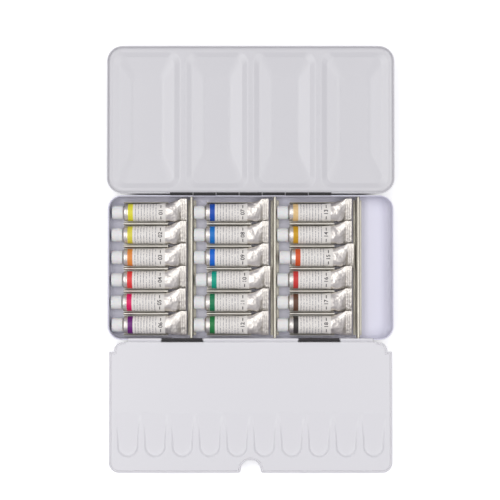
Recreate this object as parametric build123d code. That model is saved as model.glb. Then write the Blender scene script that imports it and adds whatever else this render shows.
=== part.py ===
from build123d import *
import math
import os

# All sizes are millimetres. The origin is the centre of the tray's underside, with +X to the right,
# +Y to the back, where the lid hangs, and +Z up. The box is drawn open: lid at the back, mixing flap
# folded out to the front.

# Sheet metal, counted with its enamel. The widest bend leaves a sliver of flat on top of a narrow fold.
sheet = 0.5
bend_radius = 1.0
widest_bend_share = 0.98
tray_bottom_radius = 3.0

# Paint tubes: six rows to a column, three columns
tube_rows = 6
tube_columns = 3
tube_diameter = 15.2
tube_length = 65.1
shoulder_length = 4.4
shoulder_step = 1.2
round_length = 10.5
tube_slices = 5
tube_flare_power = 5
tube_squeeze_power = 3
crimp_length = 5.2
crimp_thickness = 1.2
crimp_trim = 1.6
crimp_tilt = 12.0
crimp_skew = 1.5
crimp_lap = 0.2
neck_radius = 3.6
neck_setback = 2.0
neck_lap = 0.5
tube_seat_gap = 0.05

# How far each tube lies towards its crimp from the middle of its play, from the back row forwards
tube_shifts = [
    [0.7, 0.3, 0.3, 0.1, -0.3, 0.6],
    [-0.6, -0.6, -0.6, 1.0, -0.6, -0.6],
    [-0.6, -0.6, 1.3, -0.6, -0.6, -0.6],
]

# Screw caps
cap_length = 9.3
cap_radius = 5.9
cap_draft = 0.15
cap_end_wall = 1.6
cap_edge_radius = 0.6
thread_clearance = 0.05
cap_shoulder_gap = 0.1

# Tube cradles: a strip folded up into a fin between every two tubes
fin_width = 2.0
fin_height = 9.5
fin_side_gap = 1.21
cradle_length = 39.0
cradle_setback = 10.4
cradle_flange_gap = 1.0

# Divider strips between the columns, and the brush compartment beside the last one
divider_width = 2.6
divider_height = 14.5
divider_foot = 2.4
divider_end_gap = 0.15
divider_end_chamfer = 3.2
cap_gap = 1.4
crimp_gap = 3.5
brush_width = 27.9

# Tray
row_end_gap = 5.6
rows_forward = 0.9
tube_headroom = 2.75
wall_corner = 11.4
bead_standout = 0.6
bead_height = 1.6
bead_edge_radius = 0.28

# Hinges: rolled knuckles on wire pins
pin_radius = 0.8
pin_clearance = 0.05
knuckle_gap = 0.5
window_gap = 0.25
pin_end_inset = 0.4
leaf_length = 5.0
lid_knuckles = 7
lid_knuckle_pitch = 20.0
lid_axis_standoff = 1.05
lid_axis_lift = 0.05
lid_wall_offset = 0.4

# Mixing flap
flap_seat_gap = 0.1
flap_axis_inset = 0.15
flap_side_clearance = 1.3
flap_reach = 115.1
flap_flange = 2.5
flap_corner = 8.7
flap_edge_radius = 0.35
flap_neck_inset = 4.1
flap_neck_length = 10.4
flap_neck_setback = 2.1
flap_neck_corner = 7.6
flap_barrel_inset = 16.7
tray_knuckle_length = 35.0
tray_knuckle_place = 59.3
notch_radius = 8.5
notch_depth = 11.0
notch_mouth_radius = 2.0

# Mixing wells, ten in a row along the far edge of the flap
well_count = 10
well_border = 4.4
well_depth = 2.0
well_end_distance = 13.8
well_end_radius = 7.6
well_ramp_length = 38.6
well_flare_start = 25.0
well_flare_middle = 13.0
well_flare_width = 2.2
well_ridge = 0.9
well_draft = 1.4
well_skin = 0.35
well_underrun = 0.5

# Lid
lid_overhang = 1.0
lid_corner = 13.5
lid_hem = 1.0
lid_hem_height = 1.2
lid_front_gap = 0.25
lid_wall_height = 2.6
lid_wall_curve = 1.8
ridge_clearance = 1.4
lid_well_columns = 4
lid_outer_extra = 6.95
lid_well_depth = 8.0
lid_well_ledge = 0.7
ridge_crest = 5.0
ridge_flank = 5.0
ridge_slope = 10.3
lid_flank_drop = 1.9
lid_side_flank = 4.2
lid_side_slope = 14.0
lid_far_slope = 18.3
lid_near_slope = 27.0
lid_well_corner = 9.0
lid_floor_corner = 4.0
lid_skin = 0.3
lid_well_lap = 0.4

# How far cutting shapes run past what they cut, and how near a point lies to count as on a line
cut_margin = 1.0
tolerance = 0.01

# Derived places in the tray
row_pitch = tube_diameter + fin_width + 2 * fin_side_gap
cell_width = cap_gap + tube_length + crimp_gap
inner_width = tube_columns * (cell_width + divider_width) + brush_width
inner_depth = tube_rows * row_pitch + row_end_gap
wall_width = inner_width + 2 * sheet
wall_depth = inner_depth + 2 * sheet
tray_half_width = wall_width / 2 + bead_standout
tray_half_depth = wall_depth / 2 + bead_standout
tube_axis_z = 2 * sheet + tube_seat_gap + tube_diameter / 2
tray_height = tube_axis_z + tube_diameter / 2 + tube_headroom
inner_left = -inner_width / 2

# Derived hinge places
knuckle_radius = pin_radius + pin_clearance + sheet
bore_radius = pin_radius + pin_clearance
window_radius = knuckle_radius + window_gap
window_margin = (knuckle_gap + window_gap) / 2
lid_axis_y = tray_half_depth + lid_axis_standoff
lid_axis_z = tray_height + lid_axis_lift
flap_axis_y = -(tray_half_depth - flap_axis_inset)
flap_axis_z = tray_height + flap_seat_gap - knuckle_radius + sheet

# Derived flap sizes: the sheet runs off the bottom of its knuckles
lid_half_width = tray_half_width + lid_overhang
flap_half_width = lid_half_width - lid_hem - flap_side_clearance
flap_top_z = flap_axis_z - knuckle_radius + sheet
flap_bottom_z = flap_top_z - sheet
flap_far_y = flap_axis_y - flap_reach
flap_barrel_half = flap_half_width - flap_barrel_inset
well_pitch = 2 * (flap_half_width - well_border) / well_count

# Derived lid sizes: shut, it clears the flap's knuckles in front and its wells above
lid_front_shut = flap_axis_y - knuckle_radius - lid_front_gap - lid_hem
lid_near_y = lid_axis_y + lid_wall_offset
lid_far_y = 2 * lid_axis_y - lid_front_shut
lid_depth = lid_far_y - lid_near_y
lid_centre_y = (lid_far_y + lid_near_y) / 2
lid_rim_z = 2 * lid_axis_z - (tray_height + 2 * lid_axis_lift)
flap_rise = sheet + max(well_depth, flap_flange - sheet)
ridge_depth = flap_rise + ridge_clearance


def block(x0, x1, y0, y1, z0, z1):
    """A box between two corners."""
    return Pos((x0 + x1) / 2, (y0 + y1) / 2, (z0 + z1) / 2) * Box(x1 - x0, y1 - y0, z1 - z0)


def rod(x0, x1, y, z, radius):
    """A round bar along X."""
    return Pos((x0 + x1) / 2, y, z) * Rot(0, 90, 0) * Cylinder(radius, x1 - x0)


def rounded_plate(width, depth, radius, z, centre_y=0.0):
    """A flat face with round corners, at a height."""
    return Pos(0, centre_y, z) * RectangleRounded(width, depth, radius)


def lid_knuckle_span(index):
    """Where a knuckle of the lid hinge starts and ends along X."""
    start = (index - lid_knuckles / 2) * lid_knuckle_pitch
    return start + knuckle_gap / 2, start + lid_knuckle_pitch - knuckle_gap / 2


def flap_knuckle_spans():
    """The flap's own knuckles along X: one at each end and one in the middle."""
    inner = tray_knuckle_place - tray_knuckle_length / 2 - knuckle_gap
    outer = tray_knuckle_place + tray_knuckle_length / 2 + knuckle_gap
    return [(-flap_barrel_half, -outer), (-inner, inner), (outer, flap_barrel_half)]


def tray_knuckle_spans():
    """The tray's knuckles for the flap, along X."""
    half = tray_knuckle_length / 2
    return [(side * tray_knuckle_place - half, side * tray_knuckle_place + half) for side in (-1, 1)]


def pan_shell():
    """The tray's pressed pan: floor and walls, with round corners and a rounded bottom edge."""
    outer = extrude(rounded_plate(wall_width, wall_depth, wall_corner, 0), amount=tray_height)
    outer = fillet(outer.faces().sort_by(Axis.Z)[0].edges(), tray_bottom_radius)
    inner_face = rounded_plate(inner_width, inner_depth, wall_corner - sheet, sheet)
    inner = extrude(inner_face, amount=tray_height)
    inner = fillet(inner.faces().sort_by(Axis.Z)[0].edges(), tray_bottom_radius - sheet)
    return outer - inner


def rim_bead():
    """The outward curl round the tray's rim."""
    bottom = tray_height - bead_height
    corner = wall_corner + bead_standout
    outer = rounded_plate(2 * tray_half_width, 2 * tray_half_depth, corner, bottom)
    ring = extrude(outer, amount=bead_height)
    edges = ring.faces().sort_by(Axis.Z)[0].edges() + ring.faces().sort_by(Axis.Z)[-1].edges()
    ring = fillet(edges, bead_edge_radius)
    hole = rounded_plate(wall_width - sheet, wall_depth - sheet, wall_corner - sheet / 2, bottom - cut_margin)
    return ring - extrude(hole, amount=bead_height + 2 * cut_margin)


def make_tray():
    """The tray with its rolled rim and its half of both hinges."""
    tray = pan_shell() + rim_bead()
    back_wall = wall_depth / 2
    for index in range(lid_knuckles):
        x0, x1 = lid_knuckle_span(index)
        if index % 2:
            tray -= rod(x0 - window_margin, x1 + window_margin, lid_axis_y, lid_axis_z, window_radius)
        else:
            leaf_outer = lid_axis_y - bore_radius
            leaf = block(x0, x1, back_wall, leaf_outer, lid_axis_z - leaf_length, lid_axis_z)
            tray += leaf + rod(x0, x1, lid_axis_y, lid_axis_z, knuckle_radius)
    for x0, x1 in flap_knuckle_spans():
        tray -= rod(x0 - window_margin, x1 + window_margin, flap_axis_y, flap_axis_z, window_radius)
    for x0, x1 in tray_knuckle_spans():
        tray += rod(x0, x1, flap_axis_y, flap_axis_z, knuckle_radius)
    half = lid_knuckles * lid_knuckle_pitch / 2 + sheet
    tray -= rod(-half, half, lid_axis_y, lid_axis_z, bore_radius)
    tray -= rod(-flap_barrel_half, flap_barrel_half, flap_axis_y, flap_axis_z, bore_radius)
    return tray


def lid_section(inset, depth):
    """The lid's outline, drawn in by inset, at a depth below the rim."""
    width = 2 * (lid_half_width - inset)
    corner = lid_corner - inset
    return rounded_plate(width, lid_depth - 2 * inset, corner, lid_rim_z - depth, lid_centre_y)


def lid_dish(inset, start, drop):
    """The lid's perimeter wall as a solid dish: straight from a depth start, then in to the ridge level."""
    shoulder_depth = lid_wall_height + drop
    wall = extrude(lid_section(inset, shoulder_depth), amount=shoulder_depth - start)
    shoulder = lid_section(inset, shoulder_depth)
    foot = lid_section(inset + lid_wall_curve, ridge_depth + drop)
    return wall + loft([shoulder, foot], ruled=True)


def lid_cell_edges():
    """The side bounds of each well at the ridge level, with the flank and slope beside each bound."""
    side = lid_half_width - sheet - lid_wall_curve - lid_well_ledge
    pitch = 2 * (lid_half_width - lid_outer_extra) / lid_well_columns
    cells = []
    for index in range(lid_well_columns):
        low = (index - lid_well_columns / 2) * pitch + ridge_crest / 2
        high = low + pitch - ridge_crest
        low_run = (ridge_flank, ridge_slope)
        high_run = (ridge_flank, ridge_slope)
        if index == 0:
            low = -side
            low_run = (lid_side_flank, lid_side_slope)
        if index == lid_well_columns - 1:
            high = side
            high_run = (lid_side_flank, lid_side_slope)
        cells.append((low, high, low_run, high_run))
    return cells


def lid_well(cell, skin, drop):
    """One well of the lid as a solid: a steep flank, then a gentle slope to a flat floor."""
    low, high, low_run, high_run = cell
    edge = sheet + lid_wall_curve + lid_well_ledge
    front = lid_near_y + edge
    back = lid_far_y - edge
    edge_runs = (0, 0, 0, 0)
    flank_runs = (low_run[0], high_run[0], lid_side_flank, lid_side_flank)
    far_run = lid_side_flank + lid_far_slope
    near_run = lid_side_flank + lid_near_slope
    floor_runs = (sum(low_run), sum(high_run), far_run, near_run)
    steps = [
        (ridge_depth - lid_well_lap, edge_runs, lid_well_corner),
        (ridge_depth, edge_runs, lid_well_corner),
        (ridge_depth + lid_flank_drop, flank_runs, lid_well_corner),
        (lid_well_depth, floor_runs, lid_floor_corner),
    ]
    faces = []
    for depth, runs, corner in steps:
        left, right, far, near = runs
        x0 = low + left - skin
        x1 = high - right + skin
        y0 = front + near - skin
        y1 = back - far + skin
        plate = RectangleRounded(x1 - x0, y1 - y0, corner)
        faces.append(Pos((x0 + x1) / 2, (y0 + y1) / 2, lid_rim_z - depth - drop) * plate)
    return loft(faces, ruled=True)


def make_lid():
    """The lid with its four wells and its half of the lid hinge."""
    lid = lid_dish(0, 0, sheet)
    for cell in lid_cell_edges():
        lid += lid_well(cell, lid_skin, sheet)
    lid -= extrude(lid_section(lid_hem, lid_hem_height), amount=lid_hem_height + cut_margin)
    lid -= lid_dish(sheet, lid_hem_height, 0)
    for cell in lid_cell_edges():
        lid -= lid_well(cell, 0, 0)
    for index in range(lid_knuckles):
        x0, x1 = lid_knuckle_span(index)
        if index % 2:
            leaf_inner = lid_axis_y + bore_radius
            leaf = block(x0, x1, leaf_inner, leaf_inner + sheet, lid_axis_z - leaf_length, lid_axis_z)
            lid += leaf + rod(x0, x1, lid_axis_y, lid_axis_z, knuckle_radius)
        else:
            lid -= rod(x0 - window_margin, x1 + window_margin, lid_axis_y, lid_axis_z, window_radius)
    half = lid_knuckles * lid_knuckle_pitch / 2
    lid -= rod(-half, half, lid_axis_y, lid_axis_z, bore_radius)
    return lid


def flap_outline():
    """The flanged part of the flap seen from above: round far corners and a finger notch."""
    near_y = flap_axis_y - flap_neck_length
    depth = near_y - flap_far_y
    outline = Pos(0, (near_y + flap_far_y) / 2) * Rectangle(2 * flap_half_width, depth)
    far_corners = outline.vertices().sort_by(Axis.Y)[:2]
    outline = fillet(far_corners, flap_corner)
    notch_centre = flap_far_y + notch_depth - notch_radius
    notch = Pos(0, notch_centre) * Circle(notch_radius)
    straight = 2 * (notch_centre - flap_far_y)
    notch += Pos(0, flap_far_y) * Rectangle(2 * notch_radius, straight)
    outline -= notch
    far = [v for v in outline.vertices() if abs(v.Y - flap_far_y) < tolerance]
    mouth = [v for v in far if abs(v.X) < notch_radius + tolerance]
    return fillet(mouth, notch_mouth_radius)


def well_plan(grow):
    """One mixing well seen from above, about its own centre line, with its deep end towards -Y."""
    end_y = flap_far_y + well_end_distance
    centre_y = end_y + well_end_radius
    flare_y = flap_far_y + well_flare_start
    middle_y = flare_y + well_flare_middle
    top_y = end_y + well_ramp_length + grow
    middle = well_end_radius + well_flare_width + grow
    wide = (well_pitch - well_ridge) / 2 + grow
    round_x = well_end_radius + grow
    low = end_y - grow
    sides = [
        ThreePointArc((-round_x, centre_y), (0, low), (round_x, centre_y)),
        Polyline((round_x, centre_y), (round_x, flare_y), (middle, middle_y), (wide, top_y)),
        Line((wide, top_y), (-wide, top_y)),
        Polyline((-wide, top_y), (-middle, middle_y), (-round_x, flare_y), (-round_x, centre_y)),
    ]
    return make_face(sides)


def mixing_well(centre_x, skin, drop):
    """One mixing well as a solid: drafted sides, and a floor that ramps up to the sheet."""
    depth = well_depth + drop + well_underrun
    top = Pos(0, 0, flap_top_z) * well_plan(skin)
    bottom = Pos(0, 0, flap_top_z - depth) * well_plan(skin - well_draft)
    body = loft([top, bottom], ruled=True)
    deep_y = flap_far_y + well_end_distance + well_end_radius
    fade_y = flap_far_y + well_end_distance + well_ramp_length
    floor_z = flap_top_z - well_depth - drop
    ramp_end_z = flap_top_z - drop
    low_y = flap_far_y
    high_y = fade_y + cut_margin
    high_z = flap_top_z + cut_margin
    profile = Polyline(
        (low_y, floor_z),
        (deep_y, floor_z),
        (fade_y, ramp_end_z),
        (high_y, ramp_end_z),
        (high_y, high_z),
        (low_y, high_z),
        (low_y, floor_z),
    )
    wedge = extrude(Plane.YZ * make_face(profile), amount=well_pitch, both=True)
    return Pos(centre_x, 0, 0) * (body & wedge)


def make_flap():
    """The folding mixing flap: flanged sheet, ten wells, a finger notch and three knuckles."""
    near_y = flap_axis_y - flap_neck_length
    outline = flap_outline()
    body = extrude(Pos(0, 0, flap_top_z - flap_flange) * outline, amount=flap_flange)
    top_edges = body.faces().sort_by(Axis.Z)[-1].edges()
    edges = [e for e in top_edges if e.center().Y < near_y - tolerance]
    body = fillet(edges, flap_edge_radius)
    inner = offset(outline, amount=-sheet, kind=Kind.INTERSECTION)
    hollow = Pos(0, 0, flap_top_z - flap_flange - cut_margin) * inner
    body -= extrude(hollow, amount=flap_flange + cut_margin - sheet)
    neck_half = flap_half_width - flap_neck_inset
    under = flap_bottom_z - flap_flange
    body -= block(-neck_half, neck_half, near_y - 2 * sheet, near_y + sheet, under, flap_bottom_z)
    neck_near = flap_axis_y - flap_neck_setback
    neck = Pos(0, (near_y + neck_near) / 2 - sheet) * Rectangle(2 * neck_half, neck_near - near_y + 2 * sheet)
    neck = fillet(neck.vertices().sort_by(Axis.Y)[-2:], flap_neck_corner)
    body += extrude(Pos(0, 0, flap_bottom_z) * neck, amount=sheet)
    strip_far = neck_near - sheet
    body += block(-flap_barrel_half, flap_barrel_half, strip_far, flap_axis_y, flap_bottom_z, flap_top_z)
    centres = [(index - (well_count - 1) / 2) * well_pitch for index in range(well_count)]
    for centre_x in centres:
        body += mixing_well(centre_x, well_skin, sheet)
    for centre_x in centres:
        body -= mixing_well(centre_x, 0, 0)
    for x0, x1 in tray_knuckle_spans():
        body -= rod(x0 - window_margin, x1 + window_margin, flap_axis_y, flap_axis_z, window_radius)
    for x0, x1 in flap_knuckle_spans():
        body += rod(x0, x1, flap_axis_y, flap_axis_z, knuckle_radius)
    bore_half = flap_barrel_half + cut_margin
    body -= rod(-bore_half, bore_half, flap_axis_y, flap_axis_z, bore_radius)
    return body


def strip_face(centre_points, fold_half):
    """A face of constant thickness along a bent centre line, whose narrow folds are 2 * fold_half wide."""
    path = FilletPolyline(*centre_points, radius=min(bend_radius, fold_half * widest_bend_share))
    outline = offset(path, amount=sheet / 2, kind=Kind.INTERSECTION, side=Side.BOTH, closed=True)
    return make_face(outline.edges())


def make_cradle(left):
    """A tube cradle: base strip, a folded fin between every two tubes, and a flange at each end."""
    base_z = 1.5 * sheet
    top_z = sheet + fin_height
    end = (tube_rows - 1) / 2 * row_pitch + tube_diameter / 2 + cradle_flange_gap + sheet / 2
    half = (fin_width - sheet) / 2
    points = [(-end, top_z), (-end, base_z)]
    for index in range(1, tube_rows):
        fin_y = (index - tube_rows / 2) * row_pitch
        points += [(fin_y - half, base_z), (fin_y - half, top_z)]
        points += [(fin_y + half, top_z), (fin_y + half, base_z)]
    points += [(end, base_z), (end, top_z)]
    face = strip_face(points, half)
    return extrude(Pos(left, -rows_forward, 0) * (Plane.YZ * face), amount=cradle_length)


def make_divider(centre_x):
    """A divider: an upright strip folded over at the top, with a foot each side."""
    half = (divider_width - sheet) / 2
    foot_z = 1.5 * sheet
    top_z = sheet + divider_height
    points = [
        (-half - divider_foot, foot_z),
        (-half, foot_z),
        (-half, top_z),
        (half, top_z),
        (half, foot_z),
        (half + divider_foot, foot_z),
    ]
    face = strip_face(points, half)
    length = inner_depth - 2 * divider_end_gap
    strip = extrude(Plane.XZ * face, amount=length / 2, both=True)
    corner = divider_end_chamfer
    for side in (-1, 1):
        end = side * length / 2
        triangle = Polyline((end, 0), (end, sheet + corner), (end - side * corner, 0), (end, 0))
        cutter = extrude(Plane.YZ * make_face(triangle), amount=divider_width + divider_foot, both=True)
        strip -= cutter
    return Pos(centre_x, 0, 0) * strip


def tube_section(x, half_width, half_height, lean, skew):
    """An oval slice across a tube, leaning about the tube's axis."""
    return Pos(x, skew, 0) * Rot(lean, 0, 0) * (Plane.YZ * Ellipse(half_width, half_height))


def make_tube():
    """One paint tube along X, its cap end at x = 0 and its axis at y = z = 0."""
    radius = tube_diameter / 2
    shoulder_x = cap_length + cap_shoulder_gap
    body_x = shoulder_x + shoulder_length
    loft_x = body_x + round_length
    crimp_x = tube_length - crimp_length
    reach = crimp_x - loft_x
    crimp_half = (math.pi * tube_diameter / 2 - crimp_trim) / 2
    thin = crimp_thickness / 2
    squeeze = crimp_half - radius
    neck = rod(neck_setback, shoulder_x + neck_lap, 0, 0, neck_radius)
    cone = Pos(shoulder_x + shoulder_length / 2, 0, 0) * Rot(0, 90, 0)
    cone *= Cone(neck_radius + shoulder_step, radius, shoulder_length)
    barrel = rod(body_x, loft_x, 0, 0, radius)
    sections = []
    for step in range(tube_slices + 1):
        share = step / tube_slices
        flare = share**tube_flare_power
        half_width = radius + squeeze * flare
        half_height = radius - (radius - thin) * share**tube_squeeze_power
        x = loft_x + share * reach
        sections.append(tube_section(x, half_width, half_height, crimp_tilt * flare, crimp_skew * flare))
    body = loft(sections)
    crimp = Pos(crimp_x + (crimp_length - crimp_lap) / 2, crimp_skew, 0) * Rot(crimp_tilt, 0, 0)
    crimp *= Box(crimp_length + crimp_lap, 2 * crimp_half, crimp_thickness)
    return neck + cone + barrel + body + crimp


def make_cap():
    """One screw cap along X, closed end at x = 0, with a plain bore that runs on the tube's neck."""
    outer_end = cap_radius - cap_draft
    profile = Polyline(
        (0, 0),
        (0, outer_end),
        (cap_length, cap_radius),
        (cap_length, neck_radius + thread_clearance),
        (cap_end_wall, neck_radius + thread_clearance),
        (cap_end_wall, 0),
        (0, 0),
    )
    cap = revolve(make_face(profile), Axis.X)
    rim = cap.edges().filter_by(GeomType.CIRCLE).sort_by(Axis.X)[0]
    return fillet(rim, cap_edge_radius)


def column_left(column):
    """The X of a column's cap ends before each tube's own shift."""
    return inner_left + column * (cell_width + divider_width) + cap_gap


def row_y(row):
    """The Y of a row of tubes, counted from the back."""
    return ((tube_rows - 1) / 2 - row) * row_pitch - rows_forward


os.makedirs("parts", exist_ok=True)
export_step(make_tray(), "parts/tray_shell.step")
export_step(make_lid(), "parts/lid_shell.step")
export_step(make_flap(), "parts/mixing_flap.step")

lid_pin_half = lid_knuckles * lid_knuckle_pitch / 2 - pin_end_inset
lid_pin = rod(-lid_pin_half, lid_pin_half, lid_axis_y, lid_axis_z, pin_radius)
export_step(lid_pin, "parts/lid_hinge_pin.step")
flap_pin_half = flap_barrel_half - pin_end_inset
flap_pin = rod(-flap_pin_half, flap_pin_half, flap_axis_y, flap_axis_z, pin_radius)
export_step(flap_pin, "parts/flap_hinge_pin.step")

column_names = ["left", "middle", "right"]
tube = make_tube()
cap = make_cap()
for column in range(tube_columns):
    left = column_left(column)
    name = column_names[column]
    cradle = make_cradle(left + cradle_setback)
    export_step(cradle, f"parts/tube_cradle_{name}.step")
    divider_x = left - cap_gap + cell_width + divider_width / 2
    export_step(make_divider(divider_x), f"parts/divider_{name}.step")
    for row in range(tube_rows):
        number = column * tube_rows + row + 1
        place = Pos(left + tube_shifts[column][row], row_y(row), tube_axis_z)
        export_step(place * tube, f"parts/paint_tube_{number:02d}.step")
        export_step(place * cap, f"parts/tube_cap_{number:02d}.step")

print(f"tray {2 * tray_half_width:.2f} by {2 * tray_half_depth:.2f} by {tray_height:.2f}")
print(f"lid axis y {lid_axis_y:.3f}, z {lid_axis_z:.3f}")
print(f"flap axis y {flap_axis_y:.3f}, z {flap_axis_z:.3f}")
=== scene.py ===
"""The look of an open metal watercolour box: pressed tin, white baked enamel and eighteen paint tubes.

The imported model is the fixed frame. Each piece here is modelled in metres, in the frame's own place, and
rides on the body that carries it. Sizes are written in millimetres and turned to metres by mm().
"""

import logging
import math
from dataclasses import dataclass
from enum import Enum
from typing import Callable

import bmesh
import bpy
from mathutils import Matrix, Vector


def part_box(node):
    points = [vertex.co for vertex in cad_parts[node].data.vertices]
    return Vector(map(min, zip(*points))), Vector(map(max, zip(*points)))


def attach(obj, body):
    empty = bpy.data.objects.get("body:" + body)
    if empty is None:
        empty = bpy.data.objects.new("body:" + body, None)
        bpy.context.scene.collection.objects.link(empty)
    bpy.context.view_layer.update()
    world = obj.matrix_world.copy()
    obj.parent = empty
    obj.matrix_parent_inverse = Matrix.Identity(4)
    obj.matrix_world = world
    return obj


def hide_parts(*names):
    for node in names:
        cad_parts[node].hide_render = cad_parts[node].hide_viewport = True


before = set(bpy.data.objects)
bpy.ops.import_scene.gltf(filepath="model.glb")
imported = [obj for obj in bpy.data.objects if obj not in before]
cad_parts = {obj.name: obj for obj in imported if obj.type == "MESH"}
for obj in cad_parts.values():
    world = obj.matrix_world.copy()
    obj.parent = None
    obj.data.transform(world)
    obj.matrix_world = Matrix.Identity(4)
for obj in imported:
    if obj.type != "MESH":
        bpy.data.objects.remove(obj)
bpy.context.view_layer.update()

log = logging.getLogger("watercolour_box")

Piece = bpy.types.Object
Material = bpy.types.Material
Point = tuple[float, float]
Spans = list[Point]

# One millimetre in metres, and how many millimetres of a tube one unit of its UV map's U spans
MM = 0.001
UV_SPAN = 100.0
# How near two vertices are merged, and how near a height counts as met, in metres
WELD = 2e-6
NEAR = 1e-5
# The size of the plane that a sketch's first vertex is merged from, in metres
DOT = 1e-4
# How many straight steps part of an ellipse is drawn in
BOW_STEPS = 8
X_AXIS, Y_AXIS, Z_AXIS = Vector((1, 0, 0)), Vector((0, 1, 0)), Vector((0, 0, 1))
QUARTER = math.radians(90)
# A face turns outwards if its normal times its place passes OUTWARD, and down if its normal's Z is under
# LOOKS_DOWN
OUTWARD = 1e-4
LOOKS_DOWN = -0.3


class Slot(Enum):
    """The names of the record's material slots."""

    ENAMEL = "white_enamel"
    ALUMINIUM = "tube_aluminium"
    PLASTIC = "cap_plastic"


class Kind(Enum):
    """The kinds of mesh element that edit mode selects."""

    VERTEX = "VERT"
    EDGE = "EDGE"
    FACE = "FACE"


class Pigment(Enum):
    """The paint in each tube, in the order of the tubes: down each column from the hinge, left to right."""

    LEMON = "#EEE63C"
    CADMIUM_YELLOW = "#E8DC46"
    ORANGE = "#F0923C"
    SCARLET = "#F0403E"
    MAGENTA = "#E80F62"
    VIOLET = "#6E1678"
    ULTRAMARINE = "#0C50B8"
    CERULEAN = "#0A78CC"
    COBALT = "#086CD8"
    TURQUOISE = "#00A68A"
    GREEN = "#128254"
    SAP_GREEN = "#1C8040"
    NAPLES = "#F2CE90"
    OCHRE = "#D8A418"
    SIENNA = "#E25A26"
    LIGHT_RED = "#D63A36"
    UMBER = "#66432F"
    BLACK = "#3C3834"


def mm(*values: float) -> Vector:
    """Turns a point or size in millimetres to metres."""
    return Vector(values) * MM


def linear(colour: str) -> tuple[float, float, float, float]:
    """Turns an sRGB hex colour to the linear colour that a shader socket takes.

    Args:
        colour: A colour such as "#DEDDE4".

    Returns:
        Linear red, green, blue and an alpha of 1.
    """
    shares = [int(colour[at : at + 2], 16) / 255 for at in (1, 3, 5)]
    red, green, blue = (s / 12.92 if s <= 0.04045 else ((s + 0.055) / 1.055) ** 2.4 for s in shares)
    return red, green, blue, 1.0


def add_node(tree: bpy.types.NodeTree, name: str, kind: str, settings: dict, links: dict) -> None:
    """Adds a node with its settings and links.

    Args:
        tree: The tree of a material or of the world.
        name: What the links of later nodes call it.
        kind: Its Blender type, without "ShaderNode".
        settings: Values by socket name, socket number or property name.
        links: For each input, the name of the node that feeds it and of that node's output: "peel.Fac".
    """
    node = tree.nodes.new(f"ShaderNode{kind}")
    node.name = name
    for key, value in settings.items():
        if isinstance(key, int) or key in node.inputs:
            node.inputs[key].default_value = value
        else:
            setattr(node, key, value)
    for key, source in links.items():
        feeder, output = source.split(".")
        outputs = tree.nodes[feeder].outputs
        tree.links.new(outputs[int(output) if output.isdigit() else output], node.inputs[key])


def fill_tree(tree: bpy.types.NodeTree, rows: list[tuple[str, str, dict, dict]]) -> None:
    """Empties a tree and fills it with nodes, each listed after those that feed it."""
    tree.nodes.clear()
    for row in rows:
        add_node(tree, *row)


def make_material(name: str, settings: dict, links: dict, rows: list) -> Material:
    """Makes a material whose surface is one Principled shader.

    Args:
        name: The material's name.
        settings: Constants for the shader's own sockets.
        links: What feeds its other sockets.
        rows: The nodes that feed it, each after those that feed itself.

    Returns:
        The material.
    """
    material = bpy.data.materials.new(name)
    material.use_nodes = True
    shader = ("shader", "BsdfPrincipled", settings, links)
    output = ("output", "OutputMaterial", {}, {"Surface": "shader.BSDF"})
    fill_tree(material.node_tree, [*rows, shader, output])
    return material


@dataclass(frozen=True)
class BakedEnamel:
    """Stove enamel sprayed on pressed tinplate: a smooth satin skin with a faint orange peel."""

    name: str = "white_baked_enamel"
    colour: str = "#E4E3E5"
    roughness: float = 0.38
    unevenness: float = 0.02
    # Real orange peel is under 1 mm across, too fine to show, so it is drawn wider and very low
    peel_size: float = 6.0
    peel_height: float = 0.004

    def make(self) -> Material:
        """Builds the enamel."""
        gloss = {"To Min": self.roughness - self.unevenness, "To Max": self.roughness + self.unevenness}
        height = {"Strength": 1.0, "Distance": self.peel_height * MM}
        return make_material(
            self.name,
            {"IOR": 1.5, "Base Color": linear(self.colour)},
            {"Roughness": "gloss.Result", "Normal": "bump.Normal"},
            [
                ("place", "TexCoord", {}, {}),
                ("peel", "TexNoise", {"Scale": 1 / (self.peel_size * MM)}, {"Vector": "place.Object"}),
                ("gloss", "MapRange", gloss, {"Value": "peel.Fac"}),
                ("bump", "Bump", height, {"Height": "peel.Fac"}),
            ],
        )


@dataclass(frozen=True)
class BlackLacquer:
    """Black stoving lacquer on the outside of the tin and on its knuckles: deep, with soft reflections."""

    name: str = "black_stoving_lacquer"
    colour: str = "#1B1817"
    worn: str = "#383331"
    roughness: tuple[float, float] = (0.22, 0.45)
    scuff_size: float = 1.4
    scuffed_from: float = 0.62
    scuffed_to: float = 0.75

    def make(self) -> Material:
        """Builds the lacquer."""
        colours = {"data_type": "RGBA", 6: linear(self.colour), 7: linear(self.worn)}
        gloss = {"To Min": self.roughness[0], "To Max": self.roughness[1]}
        scuffs = {"Scale": 1 / (self.scuff_size * MM), "Detail": 5.0}
        worn = {"From Min": self.scuffed_from, "From Max": self.scuffed_to}
        return make_material(
            self.name,
            {"IOR": 1.5},
            {"Base Color": "colour.2", "Roughness": "gloss.Result"},
            [
                ("place", "TexCoord", {}, {}),
                ("scuffs", "TexNoise", scuffs, {"Vector": "place.Object"}),
                ("worn", "MapRange", worn, {"Value": "scuffs.Fac"}),
                ("colour", "Mix", colours, {0: "worn.Result"}),
                ("gloss", "MapRange", gloss, {"Value": "scuffs.Fac"}),
            ],
        )


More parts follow.
